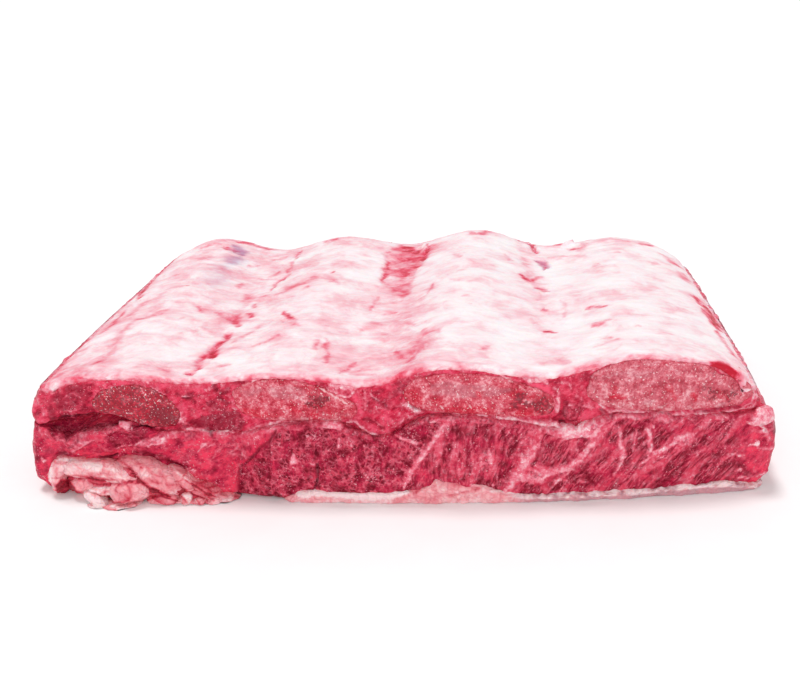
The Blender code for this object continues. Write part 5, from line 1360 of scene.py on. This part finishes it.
# The skin over the ribs. Its strokes are drawn in plan, as x and y, with blood as the first kind.
membrane = dict(
    thickness=(1.6, 0.7),  # in the middle and at the edges
    setback=1.2,
    across=420,
    along=190,
    # how much blood shows: everywhere, at the far end, to the left, in the middle valley, at the near left
    # corner, on the underside, and in a band and in torn spots along the edges
    blood=dict(all=0.02, far=0.05, left=0.1, valley=0.18, corner=0.12, under=0.1, band=0.1, torn=0.3),
)
skinStrokes = (
    # red meat bared over the widest rib
    (2, 0.9, (110.3, 12.4, 113.7, 14, 117.8, 13, 120.5, 9.4, 121.8, 3.9, 120.1, -3.8, 114.1, -5, 113.2, 2,
     111.8, 8.9, 110.3, 12.4)),
    # left of the first valley
    (4, 0.12, (-128, 2.9, -130.1, 14, -127.9, 25, -120.3, 18.5, -110.3, 5.7, -117, -0.4, -128, 2.9)),
    (2.44, 0.38, (-116.3, 15.3, -113.1, 18.7, -113.2, 26.9, -118, 40.1, -118.2, 51.3, -116, 60.5,
     -111.1, 63.1, -107.3, 69.2)),
    (2.59, 0.32, (-124.4, 67, -123.2, 79.3, -119.1, 89.2, -116.5, 100, -109.2, 99.7)),
    (1.3, 0.43, (-109.8, 100.4, -107.9, 99.4)),
    (1.62, 0.28, (-122.6, 119.8, -119.5, 120.6)),
    (3, 0.4, (-122.7, 165.6, -117.7, 167.6)),
    (3, 0.26, (-117, 141.9, -111.3, 146.4)),
    (1.95, dict(blood=0.73, lift=-0.5), (-110.6, 165.1, -103.3, 161.5)),
    (3.6, dict(blue=0.6, blood=0.53, lift=-0.5), (-106.9, 171.2, -98.8, 157.8)),
    (4.5, dict(blue=0.5, blood=0.21), (-100.3, 140.7, -100.3, 153.5)),
    (7, dict(blue=0.16), (-102.4, 136.4, -100.9, 122.4, -98.8, 104.3)),
    (3, 0.53, (-108, 178.6, -100, 179.8, -89.6, 178.5)),
    (1.3, 0.47, (-96.3, 78.3, -94.1, 71.3)),
    (1.3, 0.24, (-88.5, 61.3, -86, 49.8)),
    (2.15, 0.29, (-94.7, 46.9, -89.1, 48.7)),
    (1.3, 0.33, (-99.3, 58.5, -98, 58.9)),
    (1.95, 0.17, (-107.3, 30.7, -99.8, 32.2)),
    (2.3, 0.34, (-97.7, 9.2, -93.7, 11.7, -89.6, 11, -86.3, 8.5)),
    (1.3, dict(blood=0.28, lift=-0.3), (-111.9, 82.4, -103.2, 78.9, -96, 77.3, -87.9, 72.6, -80.9, 68.6,
     -61, 59.8, -47.1, 48.8)),
    (1.95, dict(blood=0.84, lift=-0.4), (-139.1, 146.5, -135.7, 125.3, -133.8, 111.4, -130, 92.9)),
    (1.62, 0.52, (-130, 77.1, -128.8, 70.3, -128.5, 48.2)),
    # first valley
    (2.88, 0.38, (-92.2, 142.6, -88.5, 148.2)),
    (3, 0.4, (-85.3, 160.3, -78.1, 164.8)),
    (3.45, 0.44, (-81.7, 124.5, -76.7, 124.6, -75.8, 135.6)),
    (2.15, 0.38, (-88.5, 106.9, -87.6, 115.6)),
    (1.3, dict(blood=0.52, lift=-0.6), (-68.5, 125.8, -72.1, 119.5, -72.4, 103.9)),
    (2.3, 0.42, (-74.2, 94.7, -72.9, 99.1)),
    (3, dict(blood=0.42, lift=-0.5), (-81.7, 102.3, -80.6, 95, -79.6, 82.6, -78.8, 68.8, -74.7, 56.9)),
    (2.3, 0.42, (-78.3, 68.7, -74.9, 59)),
    (1.46, 0.66, (-74.9, 85.5, -73, 81.3)),
    (1.46, 0.66, (-74.1, 73.8, -71.2, 68.4)),
    (2.15, dict(blood=0.79, lift=-0.9), (-75.2, 51, -75.2, 41.3, -77.1, 36.2, -76.8, 30.7, -74.8, 23.2)),
    (2.15, 0.53, (-76.6, 30.6, -74.1, 21.3)),
    (1.86, dict(blood=0.62, lift=-0.8), (-79, 27.2, -78.5, 20.3, -77, 13.6, -77.7, 8.8, -80.7, 6.5)),
    (2.3, 0.38, (-71.4, 17.4, -67.2, 11.7, -65.6, 13)),
    (2.01, 0.38, (-70.9, 38.3, -67.7, 46.9, -64.5, 53.8, -61, 56.7)),
    (2.01, 0.38, (-61.8, 32.4, -57, 34.8, -54, 39.5)),
    (1.3, 0.52, (-57, 67.8, -53.9, 60.6, -51.1, 57.7)),
    # second rib and second valley
    (3.5, 0.53, (-59.5, 178.4, -53.2, 175.5)),
    (1.3, dict(blood=0.47, lift=-0.4), (-71.8, 171.6, -71, 141.8, -68.7, 120)),
    (3.74, 0.42, (-65.4, 94.7, -62.5, 103.6, -56.3, 105.9, -53.1, 115)),
    (1.62, 0.52, (-54.5, 98.7, -53.1, 98.2)),
    (1.3, 0.66, (-46.9, 118.7, -45.2, 118.4)),
    (6, 0.17, (-61.7, 136.4, -47, 128.6)),
    (2.15, 0.27, (-44.4, 104.5, -41.6, 106.8)),
    (1.95, dict(blood=0.44, lift=-0.4), (-24.2, 162.9, -19.4, 179.4, -7.9, 179.6, -4.9, 148.2, -8.9, 126.8,
     -8.2, 96.6, -21.6, 112.8, -22.3, 138.2, -24.2, 162.9)),
    (3.6, 0.79, (-18.3, 178.4, -9.5, 164.8)),
    (5, 0.32, (-19.8, 148.4, -11.6, 156.3)),
    (2.88, 0.32, (-14.3, 138.3, -12.3, 126.3)),
    (1.3, dict(blood=0.52, lift=-0.5), (-22.9, 150.3, -21.9, 135.4, -21.7, 115.5)),
    (1.3, 0.43, (-21.3, 92.3, -21.9, 75.6)),
    (1.46, dict(blood=-0.5, lift=1), (-6.7, 178.6, -5.4, 161.6)),
    (1.46, dict(blood=0.66, lift=-0.6), (-5.4, 179, -4, 160.6, -5.3, 146.9)),
    (5, 0.23, (-22, 107.4, -9.2, 94.8)),
    (2.3, 0.42, (-15.2, 71.1, -10.8, 72.1)),
    (3, 0.27, (-19, 83.5, -11.5, 86.5)),
    (2.88, 0.34, (-22, 50.1, -19, 59.2, -15.9, 58.1)),
    (2.15, 0.27, (-10.3, 61, -0.6, 51, 5.1, 51.7)),
    (3.45, dict(blood=0.38, lift=-0.4), (1.7, 11.2, 1.6, 19.7, 3.7, 32.9, 6, 39.1, 10.4, 34.6)),
    (6, 0.21, (8, 30.4, 4.9, 17.9)),
    (1.46, 0.38, (-6.5, 25.9, -2.2, 16.6, 1.4, 16.4)),
    (1.3, 0.52, (-57.8, 68.4, -53.3, 58.4, -49.7, 55.2)),
    (1.3, 0.4, (-37.9, 33.7, -36.2, 25.2)),
    (1.3, 0.43, (-34, 36.8, -33, 27.9, -30.9, 23.3, -30.1, 15, -32.7, 13.5)),
    (1.62, 0.47, (-24.5, 5.3, -22.5, 12.2, -19.5, 18)),
    (3, 0.32, (-19.9, 8.1, -14.4, 14.4)),
    (1.3, 0.4, (0.9, 88.2, 3.3, 99.2)),
    (1.46, 0.43, (3.1, 40.8, 5.1, 41.6)),
    # third rib
    (2.15, 0.34, (11.1, 139.5, 14, 134.2)),
    (3, 0.27, (14, 113.5, 22.1, 118.3)),
    (2.15, 0.23, (11.2, 101.7, 19.5, 95.7)),
    (3.16, 0.58, (16.9, 179.7, 21.8, 175.7, 28.3, 186.6)),
    (1.62, 0.28, (35.7, 148.2, 37, 139.7)),
    (1.62, 0.4, (16.4, 73.7, 20.1, 75.7)),
    (1.3, 0.4, (18.8, 67.3, 21, 67.8)),
    (1.95, 0.44, (25.7, 20.4, 28.9, 22.4)),
    (1.86, 0.47, (50.5, 47.4, 54, 47)),
    (1.46, 0.38, (50.3, 73.1, 52.6, 74.7)),
    (1.62, 0.33, (46, 60, 46.6, 57.1)),
    (1.95, 0.17, (23.3, 12.1, 16.6, 18.2, 10.8, 28.8)),
    # torn flesh between the third and the fourth rib
    (1.86, dict(blood=0.85, lift=-2), (50.2, 183.5, 51.7, 166.9)),
    (1.95, dict(blood=0.73, blue=0.4, lift=-1), (52.1, 153.8, 54.6, 149.1, 55.7, 136.8)),
    (4, dict(blood=0.34, lift=-0.5), (45.7, 152.3, 47.4, 122.9)),
    (1.95, 0.53, (43.2, 123.1, 45.5, 116.1, 49.7, 115.8)),
    (2.01, dict(blood=0.68, lift=-0.6), (49, 106.5, 55.4, 100.9)),
    (1.95, 0.53, (44.2, 120.9, 47.3, 114.7, 52.5, 123.4)),
    (2.88, dict(blood=0.32, lift=1), (57.8, 179.3, 64.8, 175.3)),
    (3.74, dict(blood=0.37, lift=0.8), (57.6, 158.1, 66, 153.5)),
    (2.3, dict(blood=0.73, lift=0.6), (55.5, 191.1, 65.3, 183.2, 71.9, 185.3)),
    (3, dict(blood=0.4, lift=2.4), (68, 178, 72, 181)),
    (2.3, dict(blood=0.63, lift=-0.5), (68.2, 173.3, 73.1, 166.9)),
    (2.15, 0.34, (78.6, 178.4, 73.4, 159.7)),
    # fourth rib and right edge
    (2.3, 0.42, (89.1, 175.9, 97, 174.1, 100, 169.5)),
    (2.88, 0.63, (105.7, 171.8, 113.1, 173)),
    (3.16, 0.5, (114.8, 161.7, 118.9, 149.7, 121.4, 144.9)),
    (3.6, 0.34, (105.7, 137.3, 109.7, 136.3)),
    (1.62, 0.4, (90.1, 147.6, 91.9, 147.9)),
    (1.86, 0.4, (77.2, 128.3, 80.8, 131)),
    (1.62, 0.21, (87.9, 125.7, 86.5, 111.7)),
    (3.6, 0.38, (119, 132.2, 121.2, 122.3)),
    (2.15, 0.23, (106.5, 107.6, 108.5, 106)),
    (2.01, dict(blood=0.79, lift=-0.5), (119.6, 98.6, 119.6, 91.5, 120.5, 85)),
    (2.59, dict(blood=0.95, lift=-0.5), (123, 88.1, 123.6, 79, 122.6, 68.2, 120.9, 57.7)),
    (1.62, 0.57, (119.4, 80.1, 119.3, 63.1)),
    (1.46, 0.62, (119.4, 57.1, 120, 47.8, 120.5, 33.5, 121.2, 28.3)),
    (1.46, dict(blood=0.71, lift=-0.3), (68.4, 67.6, 73.3, 67, 78.1, 65.6)),
    (2.88, 0.5, (70.3, 44.8, 73.4, 48.6, 76.1, 48.5)),
    (1.62, 0.4, (70, 29.4, 73.9, 29.8)),
    (1.86, 0.4, (68.1, 22.9, 72.1, 25, 76.6, 26)),
    (1.62, 0.25, (68.3, 19.3, 73.6, 16.5, 77.8, 21)),
    (1.86, 0.47, (51.2, 47.9, 53.4, 46.5)),
    (1.62, 0.4, (50.3, 73.6, 52.5, 74.2)),
    (1.3, 0.3, (59.8, 87.3, 61, 77.1, 60, 63.8)),
    (1.3, 0.38, (84.7, 38.4, 86.1, 39)),
    (1.3, 0.27, (92.1, 31.4, 98.9, 33.2)),
    (2.15, 0.23, (105.3, 67.6, 112.7, 68.6)),
    (4, 0.32, (48.2, 13.1, 54, 17.7, 56.2, 13.5)),
    (6, 0.42, (-2, 172, -7, 150, -14, 120)),
)


def placeMembrane(u, v, w):
    # down from the slab's top by its thickness, which thins out to the edges
    x = acrossSlab(u, slab["membraneLevel"] + (1 - slab["membraneLevel"]) * w, v)
    thick, thin = membrane["thickness"]
    z = topZ(x, v) - (thin + (thick - thin) * smoothStep(1, 12, fromEdges(u, v))) * (1 - w)
    return np.stack((x, planY(x, v, -membrane["setback"]), z), axis=-1)


def skinGrid(across, along):
    # the top's grid, with lines close-set at both cuts, then a lip down to the underside, whose long faces
    # are zipped from its front to its back edge
    t = np.linspace(0, 1, along)
    vLines = t - 0.1 * np.sin(2 * math.pi * t)
    u, v = np.meshgrid(np.linspace(0, 1, across), vLines, indexing="ij")
    number = np.arange(u.size).reshape(u.shape)
    top = np.stack((number[:-1, :-1], number[1:, :-1], number[1:, 1:], number[:-1, 1:]), axis=-1)
    rim = np.concatenate((number[:-1, 0], number[-1, :-1], number[:0:-1, -1], number[0, :0:-1]))
    lip = np.arange(rim.size * 3).reshape(3, -1) + u.size
    rings = np.concatenate((rim[None], lip))
    after = np.roll(rings, -1, axis=1)
    edge = np.stack((rings[1:], after[1:], after[:-1], rings[:-1]), axis=-1).reshape(-1, 4)
    front, side = across - 1, along - 1
    ahead = np.arange(front + 1)
    behind = 2 * front + side - ahead
    last = rings[-1]
    under = np.stack((last[ahead[:-1]], last[behind[:-1]], last[behind[1:]], last[ahead[1:]]), axis=-1)
    rightEnd, leftEnd = last[front : front + side + 1], np.append(last[behind[0] :], last[0])
    faces = top.reshape(-1, 4).tolist() + edge.tolist() + under.tolist()
    faces += [rightEnd[::-1].tolist(), leftEnd[::-1].tolist()]
    level = np.concatenate((np.ones(u.size), np.repeat((0.66, 0.33, 0.0), rim.size)))
    source = np.append(number.ravel(), np.tile(rim, 3))
    return u.ravel()[source], v.ravel()[source], level, faces


u, v, w, faces = skinGrid(membrane["across"], membrane["along"])
points = placeMembrane(u, v, w)
x = points[:, 0] + 1.5 * fractalNoise(points, 6.0, 201, 4)
y = points[:, 1] + 2.4 * fractalNoise(points, 7.0, 205, 4)
fields = brush(x, y, skinStrokes, ("blood", "blue", "lift"))
blood = fields["blood"] * (0.48 + 0.5 * fields["blood"])
leftHalf = smoothStep(20, -90, points[:, 0])
inFrom = fromEdges(u, v)
ragged = 0.5 + 0.7 * fractalNoise(points, 6.0, 221) + 0.5 * fractalNoise(points, 2.0, 225, 2)
middleValley = bell(points[:, 0] + 8, 17) * smoothStep(150, 40, points[:, 1])
farEnd = smoothStep(110, 175, points[:, 1])
leftCorner = bell(points[:, 0] + 128, 20) * bell(points[:, 1] - 6, 26)
shows = membrane["blood"]
blood = blood + shows["all"] + shows["far"] * farEnd + shows["left"] * leftHalf
blood = blood + shows["valley"] * middleValley + shows["corner"] * leftCorner + shows["under"] * (w < 1)
blood = blood + shows["band"] * bell(inFrom, 5.0)
fields["blood"] = blood + shows["torn"] * np.clip(ragged, 0, 1) * bell(inFrom, 1.6)
along = points * (0.14, 1.0, 1.0)
relief = 0.3 * fractalNoise(points, 16.0, 211) + 0.28 * fractalNoise(along, 4.0, 215, 3)
relief = relief + fields.pop("lift")
points[:, 2] += relief * np.where(w < 1, 0.4, 1.0)
points[:, 1] += (1.1 * ragged - 0.6) * bell(inFrom, 2.5) * np.where(v < 0.5, 1, -1)
makePiece("ribSkin", points, faces, fields, ribSkin, ["membrane"])


# Folded fat at the lower left: a rough core under lobes, whose paths have x, z and the reach forward.
trim = dict(
    core=(
        (-133.5, 9.0, -1.0, 9.0),  # x, height, reach forward, reach back
        (-126.0, 13.0, 2.5, 16.0),
        (-110.0, 14.8, 6.5, 20.0),
        (-95.0, 14.6, 5.4, 20.0),
        (-80.0, 9.6, 4.2, 17.0),
        (-70.0, 5.4, 2.6, 13.0),
        (-63.5, 2.6, 0.0, 8.0),
    ),
    lobes=(
        # path, half width, half depth, redness
        (((-132, 2.2, 3.5), (-132.2, 5.9, 4), (-131.6, 10.9, 4), (-129.8, 13.7, 4),
         (-125.5, 14.2, 3.5)), 3.2, 5.8, 0),
        (((-129.6, 13, 3.5), (-124.9, 12.8, 4.5), (-117.5, 12.9, 5.5), (-110.3, 12.4, 6.5),
         (-104.2, 11, 7.5), (-97.5, 7.8, 7.5)), 3.9, 5.2, -0.08),
        (((-126.7, 6.5, 5), (-123.4, 7.6, 6), (-119.4, 8.1, 6.5), (-116.1, 7.4, 6)), 2.1, 4.6, 0.06),
        (((-121.4, 4.9, 6.5), (-117.3, 6.6, 7.5), (-111.4, 7.1, 8), (-104.8, 8.7, 8),
         (-99.5, 8.5, 7)), 1.9, 5.2, -0.02),
        (((-112, 5.4, 9), (-108, 7, 10), (-103, 8, 10), (-96.5, 7.8, 8)), 4.4, 5.6, 0.1),
        (((-122.1, 4.2, 7.5), (-118.8, 4.1, 9.5), (-116.2, 2.7, 10.5),
          (-114.8, 0.7, 10.5)), 2.1, 3.4, -0.3),
        (((-120, 1.4, 9.5), (-118, 0.7, 10.5), (-115.2, 0.7, 10.5)), 1.2, 2.9, -0.25),
        (((-115, 0.8, 10.5), (-110.6, 0.7, 10.8), (-106.1, 0.7, 10), (-100.1, 1.3, 8)), 1.4, 3.4, -0.05),
        (((-108.5, 13.2, 3), (-102, 13.6, 4.5), (-96.7, 12.9, 6), (-92.2, 11.1, 6.5),
         (-88, 8.8, 6.5), (-84, 5.2, 6)), 4.6, 4.8, 0.05),
        (((-89.5, 13.3, 4), (-85.5, 11.7, 5), (-82.5, 9.1, 5.5), (-81, 5.9, 5.5)), 2.5, 4, 0.1),
        (((-97.5, 1.4, 6), (-94, 2.4, 6.5), (-90, 2.9, 6.5), (-86.2, 2.2, 6)), 2.1, 3.4, 0.16),
        (((-84.9, 2.9, 6), (-82.8, 2.9, 6.5), (-80.7, 2.3, 6)), 3, 3.7, -0.02),
        (((-80, 1.5, 5.5), (-77.9, 1.5, 6), (-75.7, 1, 5.5)), 2, 3.4, 0.03),
        (((-75.7, 1.1, 5), (-72.8, 1.1, 5.5), (-70, 1.6, 5)), 1.9, 3.2, 0.05),
        (((-82.4, 9.4, 4), (-77.4, 6.8, 4.2), (-73, 3.9, 4), (-69.9, 1.6, 3.5)), 2, 3.4, 0.22),
        (((-78.6, 8.6, 3), (-74.1, 6.2, 3), (-69.7, 3.3, 2.5)), 1.5, 3, 0.32),
        (((-77.1, 5.1, 4), (-74.1, 3.4, 4), (-70.5, 2, 3.5), (-66.1, 1.6, 3)), 2.2, 3.4, 0.06),
        (((-72.3, 0.8, 3.5), (-68.1, 0.7, 3.5), (-64.7, 1.6, 2.5)), 1.6, 3, 0),
        (((-99, 1.2, 4.5), (-90, 1.4, 5.5), (-80, 1.3, 5.2), (-70, 1.1, 4.2),
          (-63, 0.9, 2.5)), 1.7, 3.5, 0.12),
    ),
)
# Marks on the folded fat: the red strokes that dent paint shade into creases and hollows, those that raise
# with negative red paint highlights on ridges, and the few plain red marks are the fat's own colour.
foldStrokes = (
    (0.7, dict(red=0.75, lift=-1.2), (-131.1, 3.3, -129, 5.6, -126.4, 5.1, -124.5, 3.3, -125.6, 0.8,
     -127.7, 0, -131.4, 0.2, -131.1, 3.3)),
    (0.5, dict(red=0.45, lift=-1), (-127, 7.2, -122.9, 8.3, -117.6, 7.6, -113.8, 7.3, -107.9, 7.6,
     -103.1, 7.2, -98.4, 6.4)),
    (0.6, dict(red=-0.25, lift=0.5), (-130.7, 14.1, -127.7, 14.2, -122.9, 13.8, -117.7, 13, -113, 12.4,
     -108.3, 11.3)),
    (0.6, dict(red=0.2, lift=-0.4), (-123.5, 13.3, -121.4, 11.3, -117.3, 9.9, -111, 9.6, -105.7, 9.8)),
    (0.5, dict(red=0.25, lift=-0.6), (-129.8, 10.9, -130.8, 7.6, -131.7, 4.3)),
    (0.5, dict(red=-0.2, lift=0.4), (-132, 11.9, -132.9, 8.6, -133.4, 4.3, -133.3, 1.5)),
    (0.4, dict(red=0.35, lift=-0.6), (-118, 5.5, -113.6, 5.1, -108.2, 5.8, -103.3, 6.2)),
    (0.5, dict(red=-0.2, lift=0.3), (-117.2, 4.2, -114.3, 3.7, -111.4, 4.1)),
    (0.6, dict(red=0.7, lift=-1.3), (-100.8, 10.2, -98.8, 7.4, -96.6, 5.5, -94.9, 4, -92.2, 2.5, -88, 1)),
    (0.5, dict(red=0.9, lift=-1.2), (-94.8, 4.5, -92.5, 3.5, -93.2, 2.4, -94.8, 2.9, -94.8, 4.5)),
    (0.4, dict(red=0.35, lift=-0.6), (-111.8, 4.1, -112.8, 1.4, -112.2, -1.4, -108.4, -2)),
    (0.7, 0.25, (-103.4, 5.6, -102.3, 2.9, -103.8, -0.5)),
    (0.6, dict(red=0.6, lift=-0.4), (-97.8, 12.6, -97.4, 12.1)),
    (0.5, 0.35, (-90.9, 12, -90.6, 11.7)),
    (0.5, dict(red=-0.3, lift=0.4), (-86.5, 12.9, -84.4, 10.6, -81.8, 8.5, -79.9, 6.7)),
    (0.45, dict(red=0.4, lift=-0.6), (-107.7, 15.6, -105, 14.1, -102.8, 12.8, -100.2, 10.5)),
    (0.7, dict(red=-0.35, lift=0.6), (-122.3, 0.1, -118.7, 0.8, -116.3, -2.1, -114.7, -4.8)),
    (0.5, dict(red=0.55, lift=-0.6), (-120.4, -1.7, -120, -3.9, -117.7, -4.9)),
    (0.6, dict(red=-0.3, lift=0.4), (-119.4, 2.7, -115.6, 2.3, -112.7, 1.6)),
    (0.45, dict(red=0.45, lift=-0.7), (-97.6, -1.4, -94.4, 0.7, -91.4, 1.4, -86.7, -0.4, -85.4, -1.1)),
    (0.45, dict(red=0.5, lift=-0.7), (-85.9, 2.4, -83.2, 0.6, -82, -1.3)),
    (0.45, dict(red=0.4, lift=-0.6), (-78.5, -0.1, -77.2, -1.7)),
    (0.45, dict(red=0.4, lift=-0.6), (-74.1, 0.9, -71.8, -0.4)),
    (0.5, dict(red=0.55, lift=-0.8), (-81.9, 8, -78.4, 5.4, -74.8, 2.8, -71.2, 1)),
    (0.4, dict(red=0.5, lift=-0.5), (-84.1, 5.2, -79.7, 2.1, -75.6, 0)),
    (0.5, dict(red=-0.25, lift=0.3), (-84.1, 1.9, -81.2, 1.2, -79, -0.1)),
    (0.5, dict(red=-0.2, lift=0.3), (-108.7, -4, -104.7, -3.5)),
    (0.8, 0.15, (-95.4, 14.4, -91.8, 12.4, -89, 8.3, -88, 5)),
)


def towardsEye(x, distance):
    # x moved to the photo's eye, by the distance's share of the way there
    return x + distance * (eye["x"] - x) / eye["away"]


def squarish(angle, power):
    # cosine and sine of an oval that turns squarer as the power falls below 1
    turns = np.cos(angle), np.sin(angle)
    return [np.sign(turn) * np.abs(turn) ** power for turn in turns]


def cosineSpaced(start, end, number):
    # 0 to 1, close-set at both ends
    return (1 - np.cos(math.pi * np.linspace(start, end, number))) / 2


def lobe(path, halfWidth, halfDepth, seed, rows=64, sides=40):
    # an oval carried along a smooth path, its size falling to nothing at both ends as a half circle's does
    s = cosineSpaced(0.01, 0.99, rows)
    knots = np.linspace(0, 1, len(path))
    x, z, forward = (smoothCurve(s, knots, column) for column in zip(*path))
    x = towardsEye(x, forward)
    middle = np.stack((x, frontY(x) - forward + halfDepth, z - 0.36 * halfDepth), axis=-1)
    across = np.stack((-np.gradient(z), 0 * x, np.gradient(x)), axis=-1)
    across = across / np.linalg.norm(across, axis=-1, keepdims=True)
    size = (np.clip(1 - np.abs(2 * s - 1) ** 3.5, 0, 1) ** 0.5)[:, None]
    wide, deep = squarish(np.arange(sides) / sides * 2 * math.pi, 0.8)
    points = middle[:, None] + (halfWidth * size * wide)[..., None] * across[:, None]
    points = points + (halfDepth * size * deep)[..., None] * np.array((0, 1, 0))
    swell = 0.22 * halfWidth * fractalNoise(points, 9.0, seed)
    swell = swell + 0.22 * fractalNoise(points, 2.6, seed + 4, 2)
    crease = smoothStep(0.12, 0.0, np.abs(gradientNoise(points * (0.07, 0.16, 0.22), seed + 7)))
    return raised(points, (swell - 0.5 * crease) * size), crease * size


# the core: squarish ovals that stand on the table, one at each x
xs, heights, fronts, backs = zip(*trim["core"])
angle = -np.arange(120) / 120 * 2 * math.pi
s = cosineSpaced(0, 1, 100)[:, None]
x = xs[0] + (xs[-1] - xs[0]) * s + 0 * angle
high = smoothCurve(x, xs, heights) * np.sqrt(np.clip(np.sin(math.pi * s), 0.02, 1))
reachFront, reachBack = smoothCurve(x, xs, fronts), smoothCurve(x, xs, backs)
middle, half = (reachBack - reachFront) / 2, (reachBack + reachFront) / 2
sideways, upright = squarish(angle, 0.7)
points = np.stack((x, frontY(x) + middle - half * sideways, high / 2 * (1 + upright)), axis=-1)
points = raised(points, 1.1 * fractalNoise(points, 6.0, 71, 4))
# the core shows in the hollows between the lobes, where its redder tint paints their shade
surfaces = [(points, 0.45 + 0.3 * fractalNoise(points, 5.0, 75))]
for index, (path, halfWidth, halfDepth, redness) in enumerate(trim["lobes"]):
    points, crease = lobe(path, halfWidth, halfDepth, 300 + 20 * index)
    # the creases, dented by the lobe, are also painted redder as painted shade
    surfaces.append((points, redness + 0.3 * crease))
faces, start = [], 0
for number, (points, redness) in enumerate(surfaces):
    behind = points[..., 1] - frontY(points[..., 0])
    seenX, seenZ = towardsEye(points[..., 0], behind), points[..., 2] + eye["rise"] * behind
    fields = brush(seenX, seenZ, foldStrokes, ("red", "lift"))
    facing = outward(points)[..., 1] < 0.3
    points = raised(points, 0.6 * facing * fields["lift"])
    points[..., 2] = np.maximum(points[..., 2], 0.02 * number)  # undersides never in one plane
    surfaces[number] = (points, redness + fields["red"])
    column, row = points[1, 1] - points[1, 0], points[2, 0] - points[1, 0]
    flipped = np.cross(column, row) @ (points[1, 0] - points[1].mean(0)) < 0
    faces += [[start + i for i in (face[::-1] if flipped else face)] for face in roundFaces(*redness.shape)]
    start += redness.size
points = np.concatenate([points.reshape(-1, 3) for points, _ in surfaces])
redness = np.concatenate([redness.ravel() for _, redness in surfaces])
makePiece("foldedFat", points, faces, dict(red=redness, grey=0 * redness), beefFat, ["fat_trim"])


# The photo's camera: the lens's place in the frame's millimetres.
view = dict(
    place=(33.35, -369.95, 173.84),
    down=22.0,  # degrees below level
    turn=2.04,  # degrees to the left of the slab's long axis
    lens=39.87,
    shiftX=-0.08,
)
# Two wide, soft lights and the white round them: where each comes from, its strength and spread in degrees.
studio = dict(
    lights=(
        ("overheadSoftLight", (-0.16, 0.16, 1.0), 1.36, 14.0),
        ("frontSoftLight", (0.1, -1.0, 0.34), 0.95, 25.0),
    ),
    surround=0.6,
    floorReach=60,
)


def addFloor():
    # a white floor, wide enough to fill the picture
    add, finish = newMaterial("paleStudioFloor")
    grain = add("TexNoise", {"Vector": add("TexCoord", {}, out=3), "Scale": 60.0, "Detail": 3.0})
    tint = add("ValToRGB", (grain,), stops=((0.3, "#fafafa"), (0.7, "#fcfcfc")))
    shader = add("BsdfPrincipled", {"Base Color": tint, "Roughness": 0.8, "Specular IOR Level": 0.1})
    mesh = bpy.data.meshes.new("floor")
    far = studio["floorReach"]
    mesh.from_pydata([(-far, -far, 0), (far, -far, 0), (far, far, 0), (-far, far, 0)], [], [(0, 1, 2, 3)])
    mesh.materials.append(finish(shader))
    floor = bpy.data.objects.new("floor", mesh)
    bpy.context.scene.collection.objects.link(floor)


def addSun(name, direction, strength, softness):
    # a light from far off, turned so that it shines from its direction
    sun = bpy.data.lights.new(name, "SUN")
    sun.energy = strength
    sun.angle = math.radians(softness)
    lamp = bpy.data.objects.new(name, sun)
    bpy.context.scene.collection.objects.link(lamp)
    x, y, z = direction
    lamp.rotation_euler = (math.atan2(math.hypot(x, y), z), 0, math.atan2(x, -y))


def addCamera():
    # the lens at its place, turned down and to the left
    camera = bpy.data.objects.new("camera", bpy.data.cameras.new("camera"))
    bpy.context.scene.collection.objects.link(camera)
    camera.location = [value * mm for value in view["place"]]
    camera.rotation_euler = (math.radians(90 - view["down"]), 0, math.radians(view["turn"]))
    camera.data.sensor_width = 36.0
    camera.data.lens = view["lens"]
    camera.data.shift_x = view["shiftX"]
    camera.data.clip_start = 0.01
    bpy.context.scene.camera = camera


addFloor()
for light in studio["lights"]:
    addSun(*light)
world = bpy.data.worlds.new("studio")
world.use_nodes = True
world.node_tree.nodes["Background"].inputs["Color"].default_value = (1, 1, 1, 1)
world.node_tree.nodes["Background"].inputs["Strength"].default_value = studio["surround"]
bpy.context.scene.world = world
bpy.context.scene.view_settings.view_transform = "Standard"
addCamera()
print("floor, lights and camera added")
